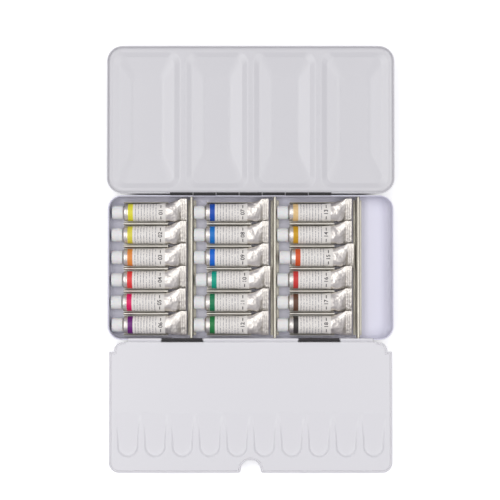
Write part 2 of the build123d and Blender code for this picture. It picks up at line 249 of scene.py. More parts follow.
@dataclass(frozen=True)
class DrawnMetal:
    """Bare metal that was rolled or drawn one way: fine streaks along its length and a soft gloss.

    Attributes:
        name: The material's name.
        colour: The metal's colour.
        streak: The colour of its duller streaks.
        roughness: Its mean roughness.
        streak_width: How wide a streak is, in millimetres.
        stretch: How many times longer than wide a streak is, along X, Y and Z.
    """

    name: str
    colour: str
    streak: str
    roughness: float
    streak_width: float
    stretch: tuple[float, float, float]
    streak_height: float = 0.02

    def make(self) -> Material:
        """Builds the metal."""
        scale = tuple(1.0 / factor for factor in self.stretch)
        streaks = {"Scale": 1 / (self.streak_width * MM), "Detail": 4.0}
        colours = {"data_type": "RGBA", 6: linear(self.colour), 7: linear(self.streak)}
        gloss = {"To Min": self.roughness - 0.1, "To Max": self.roughness + 0.14}
        height = {"Strength": 0.5, "Distance": self.streak_height * MM}
        return make_material(
            self.name,
            {"Metallic": 1.0},
            {"Base Color": "colour.2", "Roughness": "gloss.Result", "Normal": "bump.Normal"},
            [
                ("place", "TexCoord", {}, {}),
                ("mapping", "Mapping", {"Scale": scale}, {"Vector": "place.Object"}),
                ("streaks", "TexNoise", streaks, {"Vector": "mapping.Vector"}),
                ("colour", "Mix", colours, {0: "streaks.Fac"}),
                ("gloss", "MapRange", gloss, {"Value": "streaks.Fac"}),
                ("bump", "Bump", height, {"Height": "streaks.Fac"}),
            ],
        )


@dataclass(frozen=True)
class TubeFoil:
    """Impact-extruded aluminium, thin as card: bright, soft and full of small creases from the hand.

    The crimp is painted darker, a painted shade for the dimmer light that its flat folds reflect; the tube's
    UV map finds it: U is millimetres from the cap end over 100.
    """

    name: str = "creased_tube_aluminium"
    colour: str = "#E2DDD5"
    # The grain's random darker tone, which also serves as the crimp's painted shade
    grain_and_crimp_shade: str = "#CBC6BE"
    roughness: tuple[float, float] = (0.3, 0.5)
    crease_size: float = 2.6
    crease_height: float = 0.4
    grain_size: float = 0.9
    crimp_from: float = 58.6
    crimp_to: float = 59.8

    def make(self) -> Material:
        """Builds the foil."""
        grain = {"Scale": 1 / (self.grain_size * MM), "Detail": 3.0}
        crimp = {"From Min": self.crimp_from / UV_SPAN, "From Max": self.crimp_to / UV_SPAN}
        colours = {"data_type": "RGBA", 6: linear(self.colour), 7: linear(self.grain_and_crimp_shade)}
        gloss = {"To Min": self.roughness[0], "To Max": self.roughness[1]}
        creases = {"Scale": 1 / (self.crease_size * MM), "feature": "F1", "Randomness": 1.0}
        height = {"Strength": 0.55, "Distance": self.crease_height * MM}
        return make_material(
            self.name,
            {"Metallic": 1.0},
            {"Base Color": "colour.2", "Roughness": "gloss.Result", "Normal": "bump.Normal"},
            [
                ("place", "TexCoord", {}, {}),
                ("grain", "TexNoise", grain, {"Vector": "place.Object"}),
                ("axes", "SeparateXYZ", {}, {"Vector": "place.UV"}),
                ("crimp", "MapRange", crimp, {"Value": "axes.X"}),
                # Darkened by the grain's random tone and by the painted shade on the crimp, whichever is more
                ("dulled", "Math", {"operation": "MAXIMUM"}, {0: "grain.Fac", 1: "crimp.Result"}),
                ("colour", "Mix", colours, {0: "dulled.Value"}),
                ("gloss", "MapRange", gloss, {"Value": "grain.Fac"}),
                ("creases", "TexVoronoi", creases, {"Vector": "place.Object"}),
                ("bump", "Bump", height, {"Height": "creases.Distance"}),
            ],
        )


@dataclass(frozen=True)
class PrintedLabel:
    """White lacquer rolled on the tube and printed with fine plain rules across it.

    The rules run round the tube, broken unevenly, and read the tube's UV map, whose U is millimetres from
    the cap end over 100 and whose V goes once round.
    """

    name: str = "white_tube_lacquer"
    colour: str = "#EBE7E0"
    ink: str = "#A9A7A9"
    roughness: float = 0.38
    rule_pitch: float = 2.55
    rule_share: float = 0.3
    first_rule: float = 20.2
    last_rule: float = 40.6
    break_size: float = 0.9
    break_level: float = 0.44

    def make(self) -> Material:
        """Builds the lacquer and its print."""
        breaks = {"Scale": 1 / (self.break_size * MM), "Detail": 0.0}
        colours = {"data_type": "RGBA", 6: linear(self.colour), 7: linear(self.ink)}
        rows = [
            ("place", "TexCoord", {}, {}),
            ("axes", "SeparateXYZ", {}, {"Vector": "place.UV"}),
            ("breaks", "TexNoise", breaks, {"Vector": "place.Object"}),
        ]
        sums = [
            ("along", "MULTIPLY", "axes.X", UV_SPAN),
            ("past_first", "SUBTRACT", "along.Value", self.first_rule),
            ("phase", "MODULO", "past_first.Value", self.rule_pitch),
            ("rule", "LESS_THAN", "phase.Value", self.rule_pitch * self.rule_share),
            ("begun", "GREATER_THAN", "along.Value", self.first_rule),
            ("unended", "LESS_THAN", "along.Value", self.last_rule),
            ("unbroken", "GREATER_THAN", "breaks.Fac", self.break_level),
        ]
        for name, operation, source, other in sums:
            rows.append((name, "Math", {"operation": operation, 1: other}, {0: source}))
        share = "rule"
        for mask in ("begun", "unended", "unbroken"):
            links = {0: f"{share}.Value", 1: f"{mask}.Value"}
            share = f"{share}_{mask}"
            rows.append((share, "Math", {"operation": "MULTIPLY"}, links))
        rows.append(("colour", "Mix", colours, {0: f"{share}.Value"}))
        settings = {"IOR": 1.48, "Roughness": self.roughness}
        return make_material(self.name, settings, {"Base Color": "colour.2"}, rows)


@dataclass(frozen=True)
class MottledInk:
    """Printing ink: glossy or flat, and thin enough to show a little uneven.

    Attributes:
        name: The material's name.
        colour: The ink's colour.
        thin: Its colour where it lies differently, or none if that is only its own colour, deeper.
        roughness: How flat it is.
        mottle_size: How wide its mottles are, in millimetres.
        deepening: How bright the deeper colour is as a share of the ink's own.
    """

    name: str = "black_printing_ink"
    colour: str = "#2A2829"
    thin: str | None = "#45434A"
    roughness: float = 0.5
    mottle_size: float = 0.7
    deepening: float = 0.8

    def make(self) -> Material:
        """Builds the ink."""
        ink = linear(self.colour)
        deep = (*(self.deepening * share for share in ink[:3]), 1.0)
        mottle = {"Scale": 1 / (self.mottle_size * MM)}
        colours = {"data_type": "RGBA", 6: ink, 7: linear(self.thin) if self.thin else deep}
        return make_material(
            self.name,
            {"IOR": 1.48, "Roughness": self.roughness},
            {"Base Color": "colour.2"},
            [
                ("place", "TexCoord", {}, {}),
                ("mottle", "TexNoise", mottle, {"Vector": "place.Object"}),
                ("colour", "Mix", colours, {0: "mottle.Fac"}),
            ],
        )


def band_ink(pigment: Pigment) -> Material:
    """Builds the glossy ink of the coloured band at the shoulder of one paint's tube."""
    return MottledInk(f"band_ink_{pigment.name.lower()}", pigment.value, None, 0.33, 1.8).make()


@dataclass(frozen=True)
class CapPlastic:
    """Moulded white polypropylene: waxy, slightly see-through at its edges, with a fine spark texture."""

    name: str = "moulded_polypropylene"
    colour: str = "#E9E9E7"
    roughness: tuple[float, float] = (0.36, 0.5)
    translucence: float = 0.15
    scatter: float = 1.0
    texture_size: float = 0.5
    texture_height: float = 0.02

    def make(self) -> Material:
        """Builds the plastic."""
        settings = {"Base Color": linear(self.colour), "IOR": 1.49}
        settings |= {"Subsurface Weight": self.translucence, "Subsurface Scale": self.scatter * MM}
        gloss = {"To Min": self.roughness[0], "To Max": self.roughness[1]}
        height = {"Strength": 0.6, "Distance": self.texture_height * MM}
        return make_material(
            self.name,
            settings,
            {"Roughness": "gloss.Result", "Normal": "bump.Normal"},
            [
                ("place", "TexCoord", {}, {}),
                ("texture", "TexNoise", {"Scale": 1 / (self.texture_size * MM)}, {"Vector": "place.Object"}),
                ("gloss", "MapRange", gloss, {"Value": "texture.Fac"}),
                ("bump", "Bump", height, {"Height": "texture.Fac"}),
            ],
        )


def rest() -> None:
    """Goes back to object mode with nothing selected."""
    if bpy.context.object and bpy.context.object.mode != "OBJECT":
        bpy.ops.object.mode_set(mode="OBJECT")
    bpy.ops.object.select_all(action="DESELECT")


def take(*pieces: Piece) -> None:
    """Selects just these objects in object mode and makes the last one active."""
    rest()
    for piece in pieces:
        piece.select_set(True)
        bpy.context.view_layer.objects.active = piece


def place_in_mesh(piece: Piece) -> None:
    """Moves a piece's place into its mesh, so that its object sits at the origin."""
    take(piece)
    bpy.ops.object.transform_apply(location=True, rotation=True, scale=True)


def pick(piece: Piece, kind: Kind, test: Callable[..., bool]) -> None:
    """Selects just the elements that pass a test, in edit mode.

    Args:
        piece: The object in edit mode.
        kind: What to select.
        test: Takes a bmesh element and says whether it is wanted.
    """
    bpy.ops.mesh.select_mode(type=kind.value)
    bpy.ops.mesh.select_all(action="DESELECT")
    mesh = bmesh.from_edit_mesh(piece.data)
    elements = {Kind.VERTEX: mesh.verts, Kind.EDGE: mesh.edges, Kind.FACE: mesh.faces}[kind]
    for element in [element for element in elements if test(element)]:
        element.select_set(True)
    bmesh.update_edit_mesh(piece.data)


def at_height(edge: bmesh.types.BMEdge, z: float) -> bool:
    """Says whether both ends of an edge lie at a height in metres."""
    return all(abs(vertex.co.z - z) < NEAR for vertex in edge.verts)


def extrude(step: Vector) -> None:
    """Extrudes the selected edges by a step."""
    bpy.ops.mesh.extrude_edges_move(TRANSFORM_OT_translate={"value": step})


def weld() -> None:
    """Selects the whole mesh in edit mode and merges its doubled vertices."""
    bpy.ops.mesh.select_all(action="SELECT")
    bpy.ops.mesh.remove_doubles(threshold=WELD)


def modify(piece: Piece, kind: str, **settings) -> None:
    """Adds a modifier with its settings and applies it."""
    take(piece)
    modifier = piece.modifiers.new(kind.lower(), kind)
    for name, value in settings.items():
        setattr(modifier, name, value)
    bpy.ops.object.modifier_apply(modifier=modifier.name)


def smooth(piece: Piece, angle: float) -> None:
    """Smooths what bends less than an angle in degrees."""
    take(piece)
    bpy.ops.object.shade_smooth_by_angle(angle=math.radians(angle))
    rest()


def close_up(piece: Piece, angle: float) -> None:
    """Merges doubled vertices, turns the faces outwards and smooths what bends less than an angle."""
    take(piece)
    bpy.ops.object.mode_set(mode="EDIT")
    weld()
    bpy.ops.mesh.normals_make_consistent(inside=False)
    smooth(piece, angle)


def dress(piece: Piece, *materials: Material) -> None:
    """Gives a piece its materials, in the order of its faces' material numbers."""
    slots = piece.data.materials
    for number, material in enumerate(materials):
        if number < len(slots):
            slots[number] = material
        else:
            slots.append(material)


def hand_over(piece: Piece, name: str, body: str, slot: Slot, *nodes: str) -> None:
    """Names a finished piece, puts it on its body and hides the CAD nodes that it replaces.

    Args:
        piece: The finished piece.
        name: Its name in the table of pieces.
        body: The CAD body that carries it.
        slot: Not used.
        nodes: The CAD nodes that it replaces.
    """
    piece.name = name
    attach(piece, body)
    if nodes:
        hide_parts(*nodes)
    log.info("%s: %d faces on %s", name, len(piece.data.polygons), body)


class Sketch:
    """A line drawn in edit mode with Blender's own operators, in a plane, in millimetres.

    Straight runs are extruded vertices and round ones are spun. Coordinates u and v count from the sketch's
    origin along its right and up directions, and an arc's degrees are counter-clockwise.
    """

    def __init__(self, origin: Vector, right: Vector, up: Vector) -> None:
        """Starts a sketch of a new object.

        Args:
            origin: The plane's origin in metres.
            right: The direction of u, one long.
            up: The direction of v, one long.
        """
        self.origin = origin
        self.right = right
        self.up = up
        self.piece = None
        self.tip = Vector((0.0, 0.0))

    def point(self, u: float, v: float) -> Vector:
        """Gives the place in metres of a point of the plane."""
        return self.origin + (self.right * u + self.up * v) * MM

    def start(self, u: float, v: float) -> "Sketch":
        """Puts the pencil down, in a new object or in the drawn one: a tiny plane merged to one vertex."""
        if self.piece is None:
            rest()
            bpy.ops.mesh.primitive_plane_add(size=DOT, location=self.point(u, v))
            self.piece = bpy.context.object
            place_in_mesh(self.piece)
            bpy.ops.object.mode_set(mode="EDIT")
            bpy.ops.mesh.select_mode(type="VERT")
            bpy.ops.mesh.select_all(action="SELECT")
        else:
            bpy.ops.mesh.select_mode(type="VERT")
            bpy.ops.mesh.select_all(action="DESELECT")
            bpy.ops.mesh.primitive_plane_add(size=DOT, location=self.point(u, v))
        bpy.ops.mesh.merge(type="CENTER")
        self.tip = Vector((u, v))
        return self

    def line(self, u: float, v: float) -> "Sketch":
        """Draws a straight run to a point."""
        step = self.point(u, v) - self.point(*self.tip)
        bpy.ops.mesh.extrude_vertices_move(TRANSFORM_OT_translate={"value": step})
        self.tip = Vector((u, v))
        return self

    def arc(self, u: float, v: float, degrees: float, steps: int = 6) -> "Sketch":
        """Draws an arc about a centre."""
        turn = math.radians(degrees)
        axis = self.right.cross(self.up)
        bpy.ops.mesh.spin(steps=steps, angle=-turn, center=self.point(u, v), axis=axis, use_auto_merge=False)
        centre = Vector((u, v))
        self.tip = centre + Matrix.Rotation(turn, 2) @ (self.tip - centre)
        return self

    def bow(self, u: float, v: float, radii: tuple[float, float], degrees: tuple[float, float]) -> "Sketch":
        """Draws part of an ellipse about a centre, point by point.

        Args:
            u: The centre's first coordinate.
            v: Its second one.
            radii: The ellipse's radii along right and up.
            degrees: The angles where the part starts and ends.

        Returns:
            The sketch.
        """
        first, last = degrees
        for step in range(1, BOW_STEPS + 1):
            turn = math.radians(first + (last - first) * step / BOW_STEPS)
            self.line(u + radii[0] * math.cos(turn), v + radii[1] * math.sin(turn))
        return self

    def close(self, name: str) -> Piece:
        """Leaves edit mode and gives the drawn object."""
        rest()
        self.piece.name = name
        return self.piece


@dataclass(frozen=True)
class RoundedFrame:
    """A rectangle with round corners that sections are swept along.

    Attributes:
        half_width: Half its size along X, in millimetres.
        half_depth: Half its size along Y.
        corner: Its corner radius.
        centre_y: The Y of its centre.
        steps: How many segments each corner has.
    """

    half_width: float
    half_depth: float
    corner: float
    centre_y: float = 0.0
    steps: int = 14

    def section(self) -> Sketch:
        """Starts a section in the XZ plane, where the right side's straight run begins."""
        start_y = self.centre_y - self.half_depth + self.corner
        return Sketch(mm(self.half_width, start_y, 0), X_AXIS, Z_AXIS)

    def sweep(self) -> None:
        """Sweeps all that is drawn once round the frame: a straight run and a spun corner, four times."""
        across = self.half_width - self.corner
        along = self.half_depth - self.corner
        bpy.ops.mesh.select_mode(type="EDGE")
        bpy.ops.mesh.select_all(action="SELECT")
        for side_x, side_y in ((1, 1), (-1, 1), (-1, -1), (1, -1)):
            centre = mm(side_x * across, self.centre_y + side_y * along, 0)
            ahead = side_x == side_y
            extrude(mm(0, 2 * side_y * along, 0) if ahead else mm(2 * side_x * across, 0, 0))
            bpy.ops.mesh.spin(
                steps=self.steps,
                angle=-QUARTER,
                center=centre,
                axis=Z_AXIS,
                use_auto_merge=False,
            )
        weld()


@dataclass
class Hinges:
    """The rolled knuckles of both hinges and the places of their wire pins.

    Attributes:
        sheet: The thickness of the tin, in millimetres.
        barrel_half: Half the length of the flap hinge.
        leaf_length: How far a leaf hangs under its pin.
        flap_leaf: How far the flap's leaf runs towards its sheet.
        wall_bend: How far under its pin the front leaf bends towards the wall, by wall_lean.
        roll: How far the sheet is rolled round its pin, in degrees.
        window_gap: The room between a knuckle and the window that it turns in.
        rim_drop: How far the rims of tray and lid lie under the lid hinge's pin.
        lid_gap: How far the lid's rim starts behind that pin.
        crease: The bend that stays sharp in shading, in degrees.
    """

    sheet: float = 0.5
    knuckle_radius: float = 1.35
    knuckle_gap: float = 0.9
    lid_knuckles: int = 7
    lid_pitch: float = 20.0
    tray_knuckle_length: float = 35.0
    tray_knuckle_place: float = 59.3
    barrel_half: float = 105.95
    leaf_length: float = 4.6
    flap_leaf: float = 2.1
    wall_bend: float = 0.8
    wall_lean: float = 0.4
    roll: float = 325.0
    roll_steps: int = 26
    window_gap: float = 0.25
    rim_drop: float = 0.05
    lid_gap: float = 0.4
    crease: float = 40.0

    def __post_init__(self) -> None:
        """Reads the pins' places from the frame."""
        self.lid_axis = self.axis_of("lid_hinge_pin")
        self.flap_axis = self.axis_of("flap_hinge_pin")
        self.centreline = self.knuckle_radius - self.sheet / 2
        self.rim_z = self.lid_axis[1] - self.rim_drop

    @staticmethod
    def axis_of(node: str) -> Point:
        """Gives the Y and Z of a pin's centre in millimetres."""
        low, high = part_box(node)
        return (low.y + high.y) / 2 * 1000, (low.z + high.z) / 2 * 1000

    def lid_spans(self, first: int) -> Spans:
        """Gives every second knuckle of the lid hinge along X, from a first one."""
        spans = []
        for index in range(first, self.lid_knuckles, 2):
            start = (index - self.lid_knuckles / 2) * self.lid_pitch + self.knuckle_gap / 2
            spans.append((start, start + self.lid_pitch - self.knuckle_gap))
        return spans

    def tray_spans(self) -> Spans:
        """Gives the tray's two knuckles of the flap hinge along X."""
        place, half = self.tray_knuckle_place, self.tray_knuckle_length / 2
        return [(side * place - half, side * place + half) for side in (-1, 1)]

    def flap_spans(self) -> Spans:
        """Gives the flap's own three knuckles along X."""
        inner = self.tray_knuckle_place - self.tray_knuckle_length / 2 - self.knuckle_gap
        outer = self.tray_knuckle_place + self.tray_knuckle_length / 2 + self.knuckle_gap
        return [(-self.barrel_half, -outer), (-inner, inner), (outer, self.barrel_half)]

    def roll_up(self, spans: Spans, axis: Point, leaf: list[Point], turn: float) -> Piece:
        """Rolls a leaf of sheet round a pin for each span.

        Args:
            spans: Where each knuckle starts and ends along X.
            axis: The pin's Y and Z.
            leaf: The leaf's points before the roll, as offsets from the pin.
            turn: How far the sheet is rolled, counter-clockwise seen from the right.

        Returns:
            One object with all the knuckles.
        """
        rolled = []
        for x0, x1 in spans:
            sketch = Sketch(mm(x0, *axis), Y_AXIS, Z_AXIS).start(*leaf[0])
            for u, v in leaf[1:]:
                sketch.line(u, v)
            sketch.arc(0, 0, turn, self.roll_steps)
            bpy.ops.mesh.select_mode(type="EDGE")
            bpy.ops.mesh.select_all(action="SELECT")
            extrude(mm(x1 - x0, 0, 0))
            rolled.append(sketch.close("knuckle"))
        take(*rolled)
        bpy.ops.object.join()
        knuckles = bpy.context.object
        close_up(knuckles, self.crease)
        modify(knuckles, "SOLIDIFY", thickness=self.sheet * MM, offset=0.0)
        smooth(knuckles, self.crease)
        return knuckles

    def cut_windows(self, piece: Piece, spans: Spans, axis: Point) -> None:
        """Cuts round bars, a little longer and thicker than the knuckles, out of a piece.

        Args:
            piece: The piece whose rim the knuckles turn in.
            spans: Where each knuckle starts and ends along X.
            axis: The Y and Z of their pin.
        """
        bars = []
        for x0, x1 in spans:
            rest()
            bpy.ops.mesh.primitive_cylinder_add(
                vertices=40,
                radius=(self.knuckle_radius + self.window_gap) * MM,
                depth=(x1 - x0 + self.knuckle_gap + self.window_gap) * MM,
                location=mm((x0 + x1) / 2, *axis),
                rotation=(0, QUARTER, 0),
            )
            bars.append(bpy.context.object)
        take(*bars)
        bpy.ops.object.join()
        cutter = bpy.context.object
        place_in_mesh(cutter)
        modify(piece, "BOOLEAN", object=cutter, operation="DIFFERENCE", solver="EXACT")
        bpy.data.objects.remove(cutter)

    def build(self, lacquer: Material, enamel: Material, wire: Material) -> None:
        """Makes the four rows of knuckles and dresses the pins."""
        line, hang, roll = self.centreline, self.leaf_length, self.roll
        back = [(-line, -hang), (-line, 0)]
        ahead = [(line, -hang / 2), (line, 0)]
        wall = [(line - self.wall_lean, -hang / 2), (line, -self.wall_bend), (line, 0)]
        under = [(-self.flap_leaf, -line), (0, -line)]
        rows = [
            ("tray_back_knuckles", "root", self.lid_spans(0), self.lid_axis, back, -roll, lacquer),
            ("lid_knuckles", "lid", self.lid_spans(1), self.lid_axis, ahead, roll, lacquer),
            ("tray_front_knuckles", "root", self.tray_spans(), self.flap_axis, wall, roll, lacquer),
            ("flap_knuckles", "flap", self.flap_spans(), self.flap_axis, under, roll, enamel),
        ]
        for name, body, spans, axis, leaf, turn, finish in rows:
            piece = self.roll_up(spans, axis, leaf, turn)
            dress(piece, finish)
            hand_over(piece, name, body, Slot.ENAMEL)
        for node in ("lid_hinge_pin", "flap_hinge_pin"):
            dress(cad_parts[node], wire)


@dataclass
class Tray:
    """The tray: a pressed pan with a rolled bead, white inside and black outside."""

    sheet: float = 0.5
    bottom_radius: float = 3.0
    inner_radius: float = 4.0
    wall_corner: float = 11.4
    bead_standout: float = 0.6
    bead_height: float = 1.6
    bead_under_radius: float = 0.3
    divider_gap: float = 0.15
    foot_steps: int = 10
    bead_steps: int = 8
    under_steps: int = 4
    crease: float = 35.0

    def build(self, hinges: Hinges, enamel: Material, lacquer: Material) -> None:
        """Presses the pan, cuts the hinge windows in its rim and colours its two sides."""
        half_width = -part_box("tray_shell")[0].x * 1000 - self.bead_standout
        half_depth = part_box("divider_left")[1].y * 1000 + self.divider_gap + self.sheet
        outline = RoundedFrame(half_width, half_depth, self.wall_corner)
        stand = self.bead_standout
        top_radius = (self.sheet + stand) / 2
        top_z = hinges.rim_z - top_radius
        under_z = hinges.rim_z - self.bead_height
        round_z = under_z + self.bead_under_radius
        inner_foot = self.sheet + self.inner_radius
        sketch = outline.section().start(-inner_foot, self.sheet)
        sketch.arc(-inner_foot, inner_foot, 90, self.foot_steps)
        sketch.line(-self.sheet, top_z).arc(-self.sheet + top_radius, top_z, -180, self.bead_steps)
        sketch.line(stand, round_z).arc(stand - self.bead_under_radius, round_z, -90, self.under_steps)
        sketch.line(0, under_z).line(0, self.bottom_radius)
        sketch.arc(-self.bottom_radius, self.bottom_radius, -90)
        outline.sweep()
        pan = sketch.piece
        for z in (self.sheet, 0.0):
            pick(pan, Kind.EDGE, lambda edge: edge.is_boundary and at_height(edge, z * MM))
            bpy.ops.mesh.edge_face_add()
        sketch.close("pan")
        close_up(pan, self.crease)
        hinges.cut_windows(pan, hinges.lid_spans(1), hinges.lid_axis)
        hinges.cut_windows(pan, hinges.flap_spans(), hinges.flap_axis)
        close_up(pan, self.crease)
        modify(pan, "WEIGHTED_NORMAL", keep_sharp=True)
        for face in pan.data.polygons:
            outward = face.normal.x * face.center.x + face.normal.y * face.center.y > OUTWARD
            below = face.center.z < under_z * MM + NEAR
            face.material_index = int(below and (outward or face.normal.z < LOOKS_DOWN))
        dress(pan, enamel, lacquer)
        hand_over(pan, "tray_pan", "root", Slot.ENAMEL, "tray_shell")


@dataclass
class Lid:
    """The lid: a pressed dish with a hem and four soft mixing wells, white inside and black outside."""

    sheet: float = 0.5
    corner: float = 13.5
    hem: float = 1.0
    hem_height: float = 1.2
    hem_radius: float = 0.5
    wall_run: float = 3.7
    ledge: float = 0.7
    ridge_depth: float = 3.9
    well_depth: float = 8.0
    wells: int = 4
    outer_extra: float = 6.95
    crest: float = 5.0
    ridge_runs: tuple[float, float] = (5.0, 10.3)
    side_runs: tuple[float, float] = (5.6, 10.7)
    far_runs: tuple[float, float] = (4.4, 16.2)
    near_runs: tuple[float, float] = (4.4, 24.9)
    flank_drop: float = 1.9
    softness: float = 0.15
    well_corner: float = 9.0
    levels: int = 26
    fold_steps: int = 8
    well_corner_steps: int = 10
    crease: float = 35.0

    def build(self, hinges: Hinges, enamel: Material, lacquer: Material) -> None:
        """Presses the dish and its wells and colours its two sides."""
        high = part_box("lid_shell")[1]
        self.half_width = high.x * 1000
        self.near_y = hinges.lid_axis[0] + hinges.lid_gap
        self.far_y = high.y * 1000
        middle_y = (self.far_y + self.near_y) / 2
        outline = RoundedFrame(self.half_width, (self.far_y - self.near_y) / 2, self.corner, middle_y)
        ridge_z = hinges.rim_z - self.ridge_depth
        bend_z = hinges.rim_z - self.hem_height
        fold_z = hinges.rim_z - self.hem_radius
        foot = self.sheet + self.wall_run
        rise = bend_z - ridge_z
        sketch = outline.section().start(-foot, ridge_z)
        sketch.bow(-foot, bend_z, (self.wall_run, rise), (-90, 0))
        sketch.line(-self.hem, bend_z).line(-self.hem, fold_z)
        sketch.arc(-self.hem + self.hem_radius, fold_z, -180, self.fold_steps)
        sketch.line(0, bend_z).bow(-foot, bend_z, (foot, rise + self.sheet), (0, -90))
        outline.sweep()
        dish = sketch.piece
        for level in (ridge_z, ridge_z - self.sheet):
            for cell in self.cells():
                self.press_well(dish, cell, level)
            pick(dish, Kind.EDGE, lambda edge: edge.is_boundary and at_height(edge, level * MM))
            bpy.ops.mesh.fill(use_beauty=True)
        sketch.close("dish")
        close_up(dish, self.crease)
        hinges.cut_windows(dish, hinges.lid_spans(0), hinges.lid_axis)
        close_up(dish, self.crease)
        modify(dish, "WEIGHTED_NORMAL", keep_sharp=True)
        for face in dish.data.polygons:
            across = face.normal.x * face.center.x + face.normal.y * (face.center.y - middle_y * MM)
            outer = face.center.z > (ridge_z - self.sheet) * MM and across > 0 and face.normal.z < -LOOKS_DOWN
            rim = face.center.z > bend_z * MM
            face.material_index = int(not rim and (outer or face.normal.z < LOOKS_DOWN))
        dress(dish, enamel, lacquer)
        hand_over(dish, "lid_pressing", "lid", Slot.ENAMEL, "lid_shell")

    def cells(self) -> list[tuple]:
        """Gives each well's left and right bound at the ridges, with the runs down from each."""
        side = self.half_width - self.sheet - self.wall_run - self.ledge
        pitch = 2 * (self.half_width - self.outer_extra) / self.wells
        cells = []
        for index in range(self.wells):
            low = (index - self.wells / 2) * pitch + self.crest / 2
            high = low + pitch - self.crest
            low_runs, high_runs = self.ridge_runs, self.ridge_runs
            if index == 0:
                low, low_runs = -side, self.side_runs
            if index == self.wells - 1:
                high, high_runs = side, self.side_runs
            cells.append((low, high, low_runs, high_runs))
        return cells

    def soft_ramp(self, step: float) -> float:
        """Gives a ramp that starts at 0 with a rounded foot."""
        if step <= -self.softness:
            return 0.0
        if step >= self.softness:
            return step
        return (step + self.softness) ** 2 / (4 * self.softness)

    def drop_at(self, step: float) -> float:
        """Gives the well's depth below the ridges: 0 to 1 is the flank, 1 to 2 the slope."""
        slope_drop = self.well_depth - self.ridge_depth - self.flank_drop
        flank = self.soft_ramp(step) - self.soft_ramp(step - 1)
        slope = self.soft_ramp(step - 1) - self.soft_ramp(step - 2)
        return flank * self.flank_drop + slope * slope_drop

    def press_well(self, dish: Piece, cell: tuple, ridge_z: float) -> None:
        """Presses one well: a rounded rectangle extruded and drawn in, level by level.

        Args:
            dish: The lid, in edit mode.
            cell: The well's bounds and runs along X.
            ridge_z: The height of the ridges, in millimetres.
        """
        low, high, low_runs, high_runs = cell
        edge = self.sheet + self.wall_run + self.ledge
        near, far = self.near_y + edge, self.far_y - edge
        bounds = []
        for count in range(self.levels + 1):
            step = -self.softness + (2 + 2 * self.softness) * count / self.levels
            first, second = min(step, 1.0), max(step - 1.0, 0.0)
            x0 = low + low_runs[0] * first + low_runs[1] * second
            x1 = high - high_runs[0] * first - high_runs[1] * second
            y0 = near + self.near_runs[0] * first + self.near_runs[1] * second
            y1 = far - self.far_runs[0] * first - self.far_runs[1] * second
            bounds.append((x0, x1, y0, y1, ridge_z - self.drop_at(step)))
        x0, x1, y0, y1, z = bounds[0]
        middle = mm((x0 + x1) / 2, (y0 + y1) / 2, z)
        bpy.ops.mesh.select_all(action="DESELECT")
        bpy.ops.mesh.primitive_plane_add(size=MM, location=middle)
        bpy.ops.transform.resize(value=(x1 - x0, y1 - y0, 1), center_override=middle)
        steps = self.well_corner_steps
        bpy.ops.mesh.bevel(affect="VERTICES", offset=self.well_corner * MM, segments=steps, profile=0.5)
        bpy.ops.mesh.delete(type="ONLY_FACE")
        pick(dish, Kind.EDGE, lambda edge: edge.is_wire)
        for previous, following in zip(bounds, bounds[1:]):
            self.draw_in(previous, following)
        bpy.ops.mesh.edge_face_add()

    @staticmethod
    def draw_in(previous: tuple, following: tuple) -> None:
        """Extrudes the selected loop from one rectangle to the next one's size, place and height."""
        x0, x1, y0, y1, z = previous
        u0, u1, v0, v1, w = following
        centre = mm((x0 + x1) / 2, (y0 + y1) / 2, z)
        step = mm((u0 + u1) / 2, (v0 + v1) / 2, w) - centre
        extrude(mm(0, 0, 0))
        shares = ((u1 - u0) / (x1 - x0), (v1 - v0) / (y1 - y0), 1)
        bpy.ops.transform.resize(value=shares, center_override=centre)
        bpy.ops.transform.translate(value=step)


